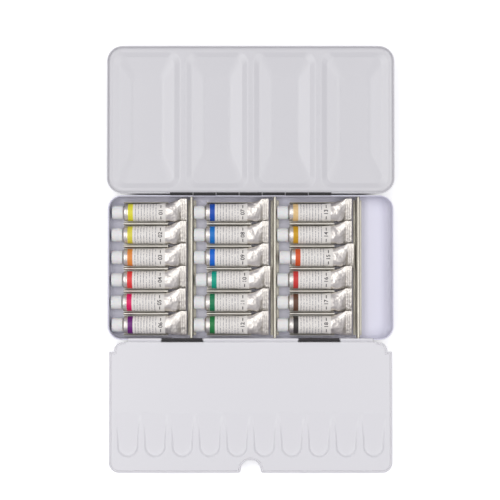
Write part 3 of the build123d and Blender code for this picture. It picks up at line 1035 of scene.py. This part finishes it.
@dataclass
class MixingFlap:
    """The folding mixing flap: a flanged white leaf with ten tongue-shaped wells and a finger notch."""

    sheet: float = 0.5
    crease: float = 35.0
    flange: float = 2.5
    edge_radius: float = 0.5
    edge_steps: int = 4
    bead_width: float = 0.2
    groove_width: float = 1.6
    groove_depth: float = 0.88
    spare: float = 2.0
    far_corner: float = 8.7
    neck_inset: float = 4.1
    neck_length: float = 10.4
    neck_setback: float = 2.1
    neck_corner: float = 7.6
    notch_radius: float = 8.5
    notch_depth: float = 11.0
    mouth_radius: float = 2.4
    wells: int = 10
    well_border: float = 4.4
    well_end: float = 13.0
    well_radius: float = 9.7
    well_length: float = 39.4
    well_ridge: float = 0.9
    well_depth: float = 2.2
    well_draft: float = 2.4
    flare_start: float = 25.0
    flare_end: float = 46.3
    flare_power: float = 1.4
    flare_steps: int = 9
    end_steps: int = 18
    wall_steps: int = 6
    corner_steps: int = 12
    neck_steps: int = 10
    mouth_steps: int = 5
    notch_steps: int = 24

    def build(self, hinges: Hinges, enamel: Material) -> None:
        """Draws the leaf, presses its wells and folds its flange."""
        low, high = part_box("mixing_flap")
        self.half_width = high.x * 1000
        self.far_y = low.y * 1000
        self.axis_y, axis_z = hinges.flap_axis
        self.top_z = axis_z - hinges.knuckle_radius + self.sheet
        sketch = Sketch(mm(0, 0, self.top_z - self.edge_radius), X_AXIS, Y_AXIS)
        self.draw_outline(sketch)
        leaf = sketch.piece
        self.round_edge()
        sketch.origin = mm(0, 0, self.top_z)
        for index in range(self.wells):
            self.draw_well(sketch, (index - (self.wells - 1) / 2) * self.well_pitch())
        weld()
        top = self.top_z * MM
        pick(leaf, Kind.EDGE, lambda edge: at_height(edge, top) and (edge.is_wire or edge.is_boundary))
        bpy.ops.mesh.fill(use_beauty=True)
        self.press_wells(leaf)
        self.fold_flange(leaf)
        sketch.close("leaf")
        close_up(leaf, self.crease)
        self.face_up(leaf)
        modify(leaf, "SOLIDIFY", thickness=self.sheet * MM, offset=-1.0, use_even_offset=True)
        smooth(leaf, self.crease)
        modify(leaf, "WEIGHTED_NORMAL", keep_sharp=True)
        dress(leaf, enamel)
        hand_over(leaf, "mixing_leaf", "flap", Slot.ENAMEL, "mixing_flap")

    def well_pitch(self) -> float:
        """Gives the distance between two wells."""
        return 2 * (self.half_width - self.well_border) / self.wells

    def draw_outline(self, sketch: Sketch) -> None:
        """Draws the leaf's edge clockwise from the middle of its hinge side, with a spare strip there."""
        neck_y = self.axis_y - self.neck_setback
        spare_y = neck_y + self.spare
        shoulder_y = self.axis_y - self.neck_length
        neck_x = self.half_width - self.neck_inset
        corner_x = neck_x - self.neck_corner
        far_x = self.half_width - self.far_corner
        mouth_x = self.notch_radius + self.mouth_radius
        mouth_y = self.far_y + self.mouth_radius
        notch_y = self.far_y + self.notch_depth - self.notch_radius
        sketch.start(0, spare_y).line(corner_x, spare_y).line(corner_x, neck_y)
        sketch.arc(corner_x, neck_y - self.neck_corner, -90, self.neck_steps)
        sketch.line(neck_x, shoulder_y).line(self.half_width, shoulder_y)
        sketch.line(self.half_width, self.far_y + self.far_corner)
        sketch.arc(far_x, self.far_y + self.far_corner, -90, self.corner_steps)
        sketch.line(mouth_x, self.far_y)
        sketch.arc(mouth_x, mouth_y, -90, self.mouth_steps)
        sketch.line(self.notch_radius, notch_y)
        sketch.arc(0, notch_y, 180, self.notch_steps)
        sketch.line(-self.notch_radius, mouth_y)
        sketch.arc(-mouth_x, mouth_y, -90, self.mouth_steps)
        sketch.line(-far_x, self.far_y)
        sketch.arc(-far_x, self.far_y + self.far_corner, -90, self.corner_steps)
        sketch.line(-self.half_width, shoulder_y).line(-neck_x, shoulder_y)
        sketch.line(-neck_x, neck_y - self.neck_corner)
        sketch.arc(-corner_x, neck_y - self.neck_corner, -90, self.neck_steps)
        sketch.line(-corner_x, spare_y).line(0, spare_y)

    def round_edge(self) -> None:
        """Makes the outline a face, draws it in along the edge's curve, bead and groove, and opens it."""
        bpy.ops.mesh.select_mode(type="EDGE")
        weld()
        bpy.ops.mesh.edge_face_add()
        radius = self.edge_radius
        shares = [step / self.edge_steps for step in range(self.edge_steps + 1)]
        turns = [QUARTER * share for share in shares]
        path = [(radius * (1 - math.cos(turn)), radius * math.sin(turn)) for turn in turns]
        for share in shares:
            dip = self.groove_depth * (1 - math.cos(math.tau * share)) / 2
            path.append((radius + self.bead_width + self.groove_width * share, radius - dip))
        for before, after in zip(path, path[1:]):
            bpy.ops.mesh.inset(thickness=(after[0] - before[0]) * MM, depth=0)
            bpy.ops.transform.translate(value=mm(0, 0, after[1] - before[1]))
        bpy.ops.mesh.delete(type="ONLY_FACE")

    def draw_well(self, sketch: Sketch, centre_x: float) -> None:
        """Draws one well's edge: a round end at the far side, and sides that flare towards the hinge."""
        round_y = self.far_y + self.well_end + self.well_radius
        flare_y = self.far_y + self.flare_start
        meet_y = self.far_y + self.flare_end
        top_y = self.far_y + self.well_end + self.well_length
        flare = (self.well_pitch() - self.well_ridge) / 2 - self.well_radius
        side = [(self.well_radius, flare_y)]
        for step in range(1, self.flare_steps + 1):
            share = step / self.flare_steps
            out = self.well_radius + flare * share**self.flare_power
            side.append((out, flare_y + (meet_y - flare_y) * share))
        side.append((side[-1][0], top_y))
        sketch.start(centre_x - side[-1][0], top_y)
        for x, y in reversed(side[:-1]):
            sketch.line(centre_x - x, y)
        sketch.line(centre_x - self.well_radius, round_y)
        sketch.arc(centre_x, round_y, 180, self.end_steps)
        for x, y in side:
            sketch.line(centre_x + x, y)
        sketch.line(centre_x - side[-1][0], top_y)

    def press_wells(self, leaf: Piece) -> None:
        """Makes each well a face, and insets and tilts them all a little at a time about their upper ends."""
        pick(leaf, Kind.EDGE, lambda edge: edge.is_boundary and at_height(edge, self.top_z * MM))
        bpy.ops.mesh.edge_face_add()
        centre = mm(0, self.far_y + self.well_end + self.well_length, self.top_z)
        angle = 0.0
        pick(leaf, Kind.FACE, lambda face: len(face.verts) > self.end_steps)
        for step in range(1, self.wall_steps + 1):
            share = step / self.wall_steps
            drop = self.well_depth * share * share * (3 - 2 * share)
            bpy.ops.mesh.inset(thickness=self.well_draft / self.wall_steps * MM, depth=0)
            turn = math.atan(drop / self.well_length)
            bpy.ops.transform.rotate(value=-(turn - angle), orient_axis="X", center_override=centre)
            angle = turn

    def fold_flange(self, leaf: Piece) -> None:
        """Folds the edge down all round but on the hinge side, and cuts the spare strip off there."""
        low = (self.top_z - self.edge_radius) * MM
        shoulder_y = (self.axis_y - self.neck_length) * MM + NEAR

        def at_fold(edge: bmesh.types.BMEdge) -> bool:
            """Says whether an edge lies where the flange starts."""
            return at_height(edge, low) and all(vertex.co.y < shoulder_y for vertex in edge.verts)

        pick(leaf, Kind.EDGE, at_fold)
        extrude(mm(0, 0, self.edge_radius - self.flange))
        bpy.ops.mesh.select_all(action="SELECT")
        cut = mm(0, self.axis_y - self.neck_setback, 0)
        bpy.ops.mesh.bisect(plane_co=cut, plane_no=Y_AXIS, clear_outer=True)

    @staticmethod
    def face_up(leaf: Piece) -> None:
        """Turns the whole leaf so that its top looks up, before its wall gets its thickness."""
        largest = max(leaf.data.polygons, key=lambda face: face.area)
        if largest.normal.z < 0:
            take(leaf)
            bpy.ops.object.mode_set(mode="EDIT")
            bpy.ops.mesh.select_all(action="SELECT")
            bpy.ops.mesh.flip_normals()
            rest()


# The order of a tube's finishes
FOIL, LABEL, BAND, INK = range(4)


@dataclass
class PaintTubes:
    """The eighteen paint tubes and their caps, each modelled once and copied.

    Places along a tube count from its cap end.

    Attributes:
        shoulder_face: How far past the shoulder's start its flat face ends, and how far outside the neck.
        shoulder_curve: How far past the shoulder's start a slice lies, and how far inside the body's radius.
        seam: The same from the body's start, where a fine groove runs round.
        crimp_folds: How far past the crimp's start a slice lies, and its half thickness.
        dent_margins: How far past the body's start the dents begin, and how far before the end they stop.
        dent_fade: How far before the crimp the dents grow fainter, down to dent_least of their depth.
        crimp_margin: How far before the crimp its own faint dents begin.
        dent_size: How wide a dent is.
        dent_bias: The level of the dents' pattern that stays in place.
        numeral_size: The font's size as a share of the height of its digits.
        numeral_cuts: How many cuts, numeral_cut apart, each side of its middle bend a print round its tube.
    """

    radius: float = 7.6
    neck_radius: float = 3.6
    neck_start: float = 2.0
    shoulder_start: float = 9.4
    shoulder_face: Point = (0.05, 1.6)
    shoulder_curve: tuple[Point, ...] = ((0.5, 1.3), (1.05, 0.55), (1.35, 0.25), (1.75, 0.12))
    body_start: float = 13.8
    seam: tuple[Point, ...] = ((-0.9, 0.06), (-0.7, 0.16), (-0.5, 0.06), (0.1, 0.0))
    band_end: float = 18.3
    label_end: float = 46.6
    round_end: float = 24.3
    crimp_start: float = 59.9
    length: float = 65.1
    crimp_half: float = 10.9
    crimp_thin: float = 0.6
    crimp_folds: tuple[Point, ...] = (
        (0.1, 0.8),
        (1.3, 0.8),
        (1.5, 0.64),
        (1.7, 0.8),
        (3.1, 0.8),
        (3.3, 0.64),
        (3.5, 0.8),
        (4.9, 0.8),
        (5.1, 0.7),
    )
    end_thin: float = 0.4
    crease: float = 32.0
    crimp_tilt: float = 12.0
    crimp_skew: float = 1.5
    squeeze_power: float = 3.0
    flare_power: float = 4.0
    around: int = 56
    ring_step: float = 1.3
    dent: float = 0.5
    label_dent: float = 0.12
    crimp_dent: float = 0.03
    dent_margins: Point = (1.0, 0.3)
    dent_fade: float = 6.0
    dent_least: float = 0.2
    crimp_margin: float = 2.0
    dent_size: float = 6.5
    dent_bias: float = 0.55
    numeral_height: float = 3.6
    numeral_size: float = 1.35
    numeral_weight: float = 0.08
    numeral_rise: float = 3.0
    numeral_cuts: int = 10
    numeral_cut: float = 0.6
    print_lift: float = 0.1
    numeral_x: float = 42.6
    rule_length: float = 2.6
    rule_width: float = 0.7
    cap_length: float = 9.3
    cap_radius: float = 5.9
    cap_flutes: int = 30
    flute_cuts: int = 4
    flute_depth: float = 0.22
    cap_collar: float = 1.1
    cap_edge: float = 0.4
    cap_wall: float = 1.6
    cap_plain: float = 0.5
    flute_ramp: float = 0.35
    collar_ramp: float = 0.3
    bore_play: float = 0.05
    edge_steps: int = 3
    cap_crease: float = 28.0

    def rings(self) -> list[tuple[float, float, float, float, float]]:
        """Lists the slices of a tube from its neck to its folded end.

        Returns:
            For each slice its x, its half width and half height, its lean in degrees and its shift along Y.
        """
        start = self.shoulder_start
        hoops = [
            (self.neck_start, self.neck_radius),
            (start, self.neck_radius),
            (start + self.shoulder_face[0], self.neck_radius + self.shoulder_face[1]),
        ]
        for base, curve in ((start, self.shoulder_curve), (self.body_start, self.seam)):
            hoops += [(base + along, self.radius - inside) for along, inside in curve]
        rings = [(x, radius, radius, 0.0, 0.0) for x, radius in hoops]
        x = self.body_start + self.seam[-1][0]
        for stop in (self.band_end, self.round_end, self.label_end, self.crimp_start):
            count = max(1, round((stop - x) / self.ring_step))
            for step in range(1, count + 1):
                rings.append(self.slice_at(x + (stop - x) * step / count))
            x = stop
        for along, thick in (*self.crimp_folds, (self.length - self.crimp_start, self.end_thin)):
            rings.append((self.crimp_start + along, self.crimp_half, thick, self.crimp_tilt, self.crimp_skew))
        return rings

    def slice_at(self, x: float) -> tuple[float, float, float, float, float]:
        """Gives the slice of the body at an x, flatter, wider and more tilted towards the folded end."""
        share = max(0.0, (x - self.round_end) / (self.crimp_start - self.round_end))
        flare = share**self.flare_power
        half_width = self.radius + (self.crimp_half - self.radius) * flare
        half_height = self.radius - (self.radius - self.crimp_thin) * share**self.squeeze_power
        return x, half_width, half_height, self.crimp_tilt * flare, self.crimp_skew * flare

    def model_tube(self) -> Piece:
        """Models a tube along X: a circle extruded slice by slice, resized, tilted and shifted."""
        rings = self.rings()
        rest()
        x, half_width, _, _, _ = rings[0]
        bpy.ops.mesh.primitive_circle_add(
            vertices=self.around,
            radius=half_width * MM,
            fill_type="NGON",
            location=mm(x, 0, 0),
            rotation=(0, QUARTER, 0),
        )
        tube = bpy.context.object
        place_in_mesh(tube)
        bpy.ops.object.mode_set(mode="EDIT")
        pick(tube, Kind.EDGE, lambda edge: True)
        for previous, following in zip(rings, rings[1:]):
            self.next_slice(previous, following)
        bpy.ops.mesh.edge_face_add()
        rest()
        close_up(tube, self.crease)
        self.lay_uv(tube)
        for face in tube.data.polygons:
            along = face.center.x * 1000
            face.material_index = FOIL
            if self.body_start < along < self.band_end:
                face.material_index = BAND
            elif self.band_end < along < self.label_end:
                face.material_index = LABEL
        return tube

    @staticmethod
    def next_slice(previous: tuple, following: tuple) -> None:
        """Extrudes the selected slice to the next one."""
        x, half_width, half_height, lean, skew = previous
        next_x, next_width, next_height, next_lean, next_skew = following
        extrude(mm(next_x - x, next_skew - skew, 0))
        centre = mm(next_x, next_skew, 0)
        if lean:
            bpy.ops.transform.rotate(value=math.radians(lean), orient_axis="X", center_override=centre)
        shares = (1, next_width / half_width, next_height / half_height)
        bpy.ops.transform.resize(value=shares, center_override=centre)
        if next_lean:
            bpy.ops.transform.rotate(value=-math.radians(next_lean), orient_axis="X", center_override=centre)

    @staticmethod
    def lay_uv(tube: Piece) -> None:
        """Lays the UV map of the print: U is millimetres along over 100, V goes once round."""
        layer = tube.data.uv_layers.new(name="print") if not tube.data.uv_layers else tube.data.uv_layers[0]
        for loop in tube.data.loops:
            place = tube.data.vertices[loop.vertex_index].co
            around = math.atan2(place.z, place.y) / math.tau + 0.5
            layer.data[loop.index].uv = (place.x / (UV_SPAN * MM), around)

    def dent_tube(self, tube: Piece, x0: float) -> None:
        """Dents a tube in its place, deepest where it is bare between label and fold.

        Args:
            tube: The tube, in its place.
            x0: The X of its cap end in millimetres.
        """
        group = tube.vertex_groups.new(name="soft")
        for vertex in tube.data.vertices:
            along = vertex.co.x * 1000 - x0
            group.add([vertex.index], self.softness_at(along), "REPLACE")
        creases = bpy.data.textures.new("hand_creases", "VORONOI")
        creases.noise_scale = self.dent_size * MM
        creases.distance_metric = "DISTANCE"
        modify(
            tube,
            "DISPLACE",
            texture=creases,
            texture_coords="GLOBAL",
            direction="NORMAL",
            vertex_group=group.name,
            mid_level=self.dent_bias,
            strength=self.dent * MM * 2,
        )
        tube.vertex_groups.clear()

    def softness_at(self, along: float) -> float:
        """Gives how far a tube dents at a distance from its cap end, as a share of the deepest dent."""
        before, after = self.dent_margins
        to_crimp = self.crimp_start - self.crimp_margin - along
        if along < self.body_start + before or along > self.length - after:
            return 0.0
        if to_crimp < 0:
            return self.crimp_dent / self.dent
        rise = min(1.0, max(0.0, (along - self.round_end) / (self.label_end - self.round_end)))
        fall = min(1.0, to_crimp / self.dent_fade + self.dent_least)
        least = self.label_dent / self.dent
        return least + (1 - least) * rise * rise * fall

    def model_numeral(self, tube: Piece, number: str, place: Vector) -> Piece:
        """Prints a plain number on a tube, with a short rule each side of it.

        Args:
            tube: The dented tube, in its place.
            number: The number to print.
            place: The tube's cap end, in millimetres.

        Returns:
            The print, wrapped on the tube.
        """
        rest()
        location = mm(place.x + self.numeral_x, place.y, place.z + self.radius + self.numeral_rise)
        bpy.ops.object.text_add(location=location, rotation=(0, 0, QUARTER))
        text = bpy.context.object
        text.data.body = number
        text.data.size = self.numeral_height * self.numeral_size * MM
        text.data.align_x = "CENTER"
        text.data.align_y = "CENTER"
        text.data.offset = self.numeral_weight * MM
        take(text)
        bpy.ops.object.convert(target="MESH")
        numeral = bpy.context.object
        place_in_mesh(numeral)
        bpy.ops.object.mode_set(mode="EDIT")
        for side in (-1, 1):
            bpy.ops.mesh.select_all(action="DESELECT")
            middle = location + mm(0, side * (self.numeral_height + self.rule_length / 2), 0)
            bpy.ops.mesh.primitive_plane_add(size=MM, location=middle)
            size = (self.rule_width, self.rule_length, 1)
            bpy.ops.transform.resize(value=size, center_override=middle)
        for cut in range(-self.numeral_cuts, self.numeral_cuts + 1):
            bpy.ops.mesh.select_all(action="SELECT")
            bpy.ops.mesh.bisect(plane_co=location + mm(0, cut * self.numeral_cut, 0), plane_no=Y_AXIS)
        rest()
        modify(
            numeral,
            "SHRINKWRAP",
            target=tube,
            wrap_method="PROJECT",
            use_project_z=True,
            use_negative_direction=True,
            use_positive_direction=False,
            offset=self.print_lift * MM,
        )
        return numeral

    def model_cap(self) -> Piece:
        """Models a screw cap along X: a fluted drum with a plain collar, a rounded end and a bore."""
        cuts = self.cap_flutes * self.flute_cuts
        rest()
        bpy.ops.mesh.primitive_circle_add(
            vertices=cuts,
            radius=self.cap_radius * MM,
            fill_type="NGON",
            rotation=(0, QUARTER, 0),
        )
        cap = bpy.context.object
        place_in_mesh(cap)
        bpy.ops.object.mode_set(mode="EDIT")
        pick(cap, Kind.FACE, lambda face: True)
        inner = self.cap_radius - self.cap_edge
        share = inner / self.cap_radius
        bpy.ops.transform.resize(value=(1, share, share), center_override=(0, 0, 0))
        collar = self.cap_length - self.cap_collar
        flute_start = self.cap_edge + self.cap_plain
        flute_end = collar - self.collar_ramp
        bore = self.neck_radius + self.bore_play
        turns = [QUARTER * (step + 1) / self.edge_steps for step in range(self.edge_steps)]
        curve = self.cap_edge
        hoops = [(curve * (1 - math.cos(turn)), inner + curve * math.sin(turn)) for turn in turns]
        full = (flute_start, flute_start + self.flute_ramp, flute_end, collar, self.cap_length)
        hoops += [(along, self.cap_radius) for along in full]
        hoops += [(self.cap_length, bore), (self.cap_wall, bore)]
        pick(cap, Kind.EDGE, lambda edge: True)
        x, radius = 0.0, inner
        for hoop in hoops:
            self.next_hoop(x, radius, *hoop)
            x, radius = hoop
        bpy.ops.mesh.edge_face_add()
        share = (self.cap_radius - self.flute_depth) / self.cap_radius

        def in_flute(vertex: bmesh.types.BMVert) -> bool:
            """Says whether a vertex lies at the bottom of a flute."""
            outside = math.hypot(vertex.co.y, vertex.co.z) > inner * MM
            between = flute_start * MM + NEAR < vertex.co.x < flute_end * MM + NEAR
            turn = round(math.atan2(vertex.co.z, vertex.co.y) / math.tau * cuts) % self.flute_cuts
            return outside and between and turn in (0, 1)

        pick(cap, Kind.VERTEX, in_flute)
        bpy.ops.transform.resize(value=(1, share, share), center_override=(0, 0, 0))
        rest()
        close_up(cap, self.cap_crease)
        return cap

    @staticmethod
    def next_hoop(x: float, radius: float, next_x: float, next_radius: float) -> None:
        """Extrudes the selected hoop of a cap to the next one's x and radius."""
        extrude(mm(next_x - x, 0, 0))
        share = next_radius / radius
        bpy.ops.transform.resize(value=(1, share, share), center_override=mm(next_x, 0, 0))

    def build(self, foil: Material, label: Material, ink: Material, plastic: Material) -> None:
        """Copies the tube and its cap to every place and finishes each copy."""
        tube_model = self.model_tube()
        cap_model = self.model_cap()
        for number, pigment in enumerate(Pigment, 1):
            tag = f"{number:02d}"
            low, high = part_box(f"tube_cap_{tag}")
            place = Vector((low.x, (low.y + high.y) / 2, (low.z + high.z) / 2)) * 1000
            tube = self.copy(tube_model, place)
            dress(tube, foil, label, band_ink(pigment), ink)
            self.dent_tube(tube, place.x)
            numeral = self.model_numeral(tube, tag, place)
            dress(numeral, foil, label, ink, ink)
            for face in numeral.data.polygons:
                face.material_index = INK
            take(numeral, tube)
            bpy.ops.object.join()
            smooth(tube, self.crease)
            hand_over(tube, f"tube_{tag}_body", f"tube_{tag}", Slot.ALUMINIUM, f"paint_tube_{tag}")
            cap = self.copy(cap_model, place)
            dress(cap, plastic)
            hand_over(cap, f"tube_{tag}_cap", f"cap_{tag}", Slot.PLASTIC, f"tube_cap_{tag}")
        bpy.data.objects.remove(tube_model)
        bpy.data.objects.remove(cap_model)

    @staticmethod
    def copy(model: Piece, place: Vector) -> Piece:
        """Copies a model with its own mesh and puts the place in the mesh."""
        copied = model.copy()
        copied.data = model.data.copy()
        bpy.context.scene.collection.objects.link(copied)
        copied.location = place * MM
        place_in_mesh(copied)
        return copied


# The nodes of "seen": 1 for what the camera sees itself, in a mirror or through glass, 0 for other light
SEEN = [
    ("paths", "LightPath", {}, {}),
    ("mirrored", "Math", {"operation": "MAXIMUM"}, {0: "paths.Is Camera Ray", 1: "paths.Is Glossy Ray"}),
    ("seen", "Math", {"operation": "MAXIMUM"}, {0: "mirrored.Value", 1: "paths.Is Transmission Ray"}),
]


@dataclass
class Studio:
    """A white table under soft light, and the camera looking almost straight down.

    Attributes:
        centre: The point of the table that the camera looks at, in millimetres.
        distance: How far the camera is from it.
        tilt: How far the camera leans towards the front, in degrees.
        reach: How far it sees, in metres.
        focal_share: Its focal length as a share of the picture's width.
        floor_gap: How far the table lies under the tray, in millimetres.
        shade: Where the table's glow begins and where it is whole, from the middle along X and along Y;
            inside, the glow fades to a painted shadow.
    """

    centre: tuple[float, float] = (-0.58, 15.6)
    distance: float = 1300.0
    tilt: float = 1.45
    reach: float = 20.0
    focal_share: float = 2.956
    sensor: float = 36.0
    floor_size: float = 6.0
    floor_gap: float = 0.3
    floor_colour: str = "#F4F4F6"
    floor_glow: float = 0.5
    shade: tuple[tuple[float, float], tuple[float, float]] = ((98.0, 113.0), (64.0, 96.0))
    lamp_colour: str = "#FFFFFD"
    world_colour: str = "#E8E7F4"
    world_strength: float = 0.4
    world_shown: float = 0.7

    def build(self) -> None:
        """Sets up the camera, the table, the lamps and the sky."""
        self.place_camera()
        self.lay_floor()
        self.hang_lamps()
        self.light_world()
        bpy.context.scene.view_settings.view_transform = "Standard"

    def place_camera(self) -> None:
        """Makes the camera."""
        data = bpy.data.cameras.new("camera")
        data.sensor_width = self.sensor
        data.lens = self.sensor * self.focal_share
        data.clip_end = self.reach
        camera = bpy.data.objects.new("camera", data)
        bpy.context.scene.collection.objects.link(camera)
        turn = Matrix.Rotation(math.radians(self.tilt), 3, "X")
        camera.location = mm(*self.centre, 0) + turn @ mm(0, 0, self.distance)
        camera.rotation_euler = turn.to_euler()
        bpy.context.scene.camera = camera

    def lay_floor(self) -> None:
        """Makes the white table, which glows a little to the camera but fades to a painted shadow under and
        beside the tray and its hinges.
        """
        rest()
        bpy.ops.mesh.primitive_plane_add(size=self.floor_size, location=mm(0, 0, -self.floor_gap))
        floor = bpy.context.object
        floor.name = "table"
        rows = [*SEEN, ("place", "TexCoord", {}, {}), ("axes", "SeparateXYZ", {}, {"Vector": "place.Object"})]
        # The glow fades out near the box: a painted soft shadow round and under it
        for axis, (first, last) in zip("XY", self.shade):
            settings = {"interpolation_type": "SMOOTHSTEP", "From Min": first * MM, "From Max": last * MM}
            rows.append((f"size_{axis}", "Math", {"operation": "ABSOLUTE"}, {0: f"axes.{axis}"}))
            rows.append((f"beyond_{axis}", "MapRange", settings, {"Value": f"size_{axis}.Value"}))
        rows += [
            ("beside", "Math", {"operation": "MAXIMUM"}, {0: "beyond_X.Result", 1: "beyond_Y.Result"}),
            ("shown", "Math", {"operation": "MULTIPLY"}, {0: "seen.Value", 1: "beside.Value"}),
            ("glow", "Math", {"operation": "MULTIPLY", 1: self.floor_glow}, {0: "shown.Value"}),
        ]
        pale = linear(self.floor_colour)
        settings = {"Roughness": 0.9, "Base Color": pale, "Emission Color": (1, 1, 1, 1)}
        dress(floor, make_material("white_table", settings, {"Emission Strength": "glow.Value"}, rows))

    def hang_lamps(self) -> None:
        """Hangs a long soft lamp over each side and a wide one over the back, all facing straight down."""
        # Each lamp's name, place and size in metres, and power in watts
        lamps = [
            ("left_lamp", (-0.62, -0.02, 1.42), (0.57, 1.4), 9.6),
            ("right_lamp", (0.62, -0.02, 1.42), (0.57, 1.4), 7.5),
            ("back_lamp", (0.0, 0.75, 1.42), (1.2, 0.5), 2.1),
        ]
        for name, place, size, power in lamps:
            data = bpy.data.lights.new(name, "AREA")
            data.shape = "RECTANGLE"
            data.size, data.size_y = size
            data.energy = power
            data.color = linear(self.lamp_colour)[:3]
            lamp = bpy.data.objects.new(name, data)
            bpy.context.scene.collection.objects.link(lamp)
            lamp.location = place

    def light_world(self) -> None:
        """Fills the surroundings with a pale, slightly cool light."""
        world = bpy.data.worlds.new("soft_room")
        bpy.context.scene.world = world
        world.use_nodes = True
        shown = {"To Min": self.world_strength, "To Max": self.world_shown}
        rows = [
            *SEEN,
            ("strength", "MapRange", shown, {"Value": "seen.Value"}),
            ("sky", "Background", {"Color": linear(self.world_colour)}, {"Strength": "strength.Result"}),
            ("output", "OutputWorld", {}, {"Surface": "sky.Background"}),
        ]
        fill_tree(world.node_tree, rows)


def dress_strips() -> None:
    """Gives the CAD's cradles and dividers their finish."""
    across = DrawnMetal("tinned_strip", "#CBC7B9", "#ACA899", 0.42, 0.6, (1.0, 14.0, 1.0)).make()
    along = DrawnMetal("tinned_cradle", "#D2CFC6", "#B4B0A5", 0.42, 0.6, (14.0, 1.0, 1.0)).make()
    for side in ("left", "middle", "right"):
        dress(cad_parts[f"divider_{side}"], across)
        dress(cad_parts[f"tube_cradle_{side}"], along)
        log.info("strips of the %s column dressed", side)


def main() -> None:
    """Builds the whole look."""
    logging.basicConfig(level=logging.INFO, format="%(message)s")
    Studio().build()
    enamel = BakedEnamel().make()
    # The tray's inside is the white enamel tinted lavender: a painted cast of the bluish shade light in its
    # recess
    inside = BakedEnamel("shade_tinted_tray_enamel", "#E2E1ED").make()
    # The lid's enamel is a darker copy of the white enamel: painted shade for the dimmer light on the lid
    shaded_lid_enamel = BakedEnamel("painted_shade_lid_enamel", "#D7D6D8", 0.31).make()
    lacquer = BlackLacquer().make()
    wire = DrawnMetal("drawn_steel_wire", "#A9A8A6", "#85837F", 0.28, 0.3, (30.0, 1.0, 1.0)).make()
    hinges = Hinges()
    hinges.build(lacquer, enamel, wire)
    Tray().build(hinges, inside, lacquer)
    Lid().build(hinges, shaded_lid_enamel, lacquer)
    MixingFlap().build(hinges, enamel)
    PaintTubes().build(TubeFoil().make(), PrintedLabel().make(), MottledInk().make(), CapPlastic().make())
    dress_strips()


if __name__ == "__main__":
    main()
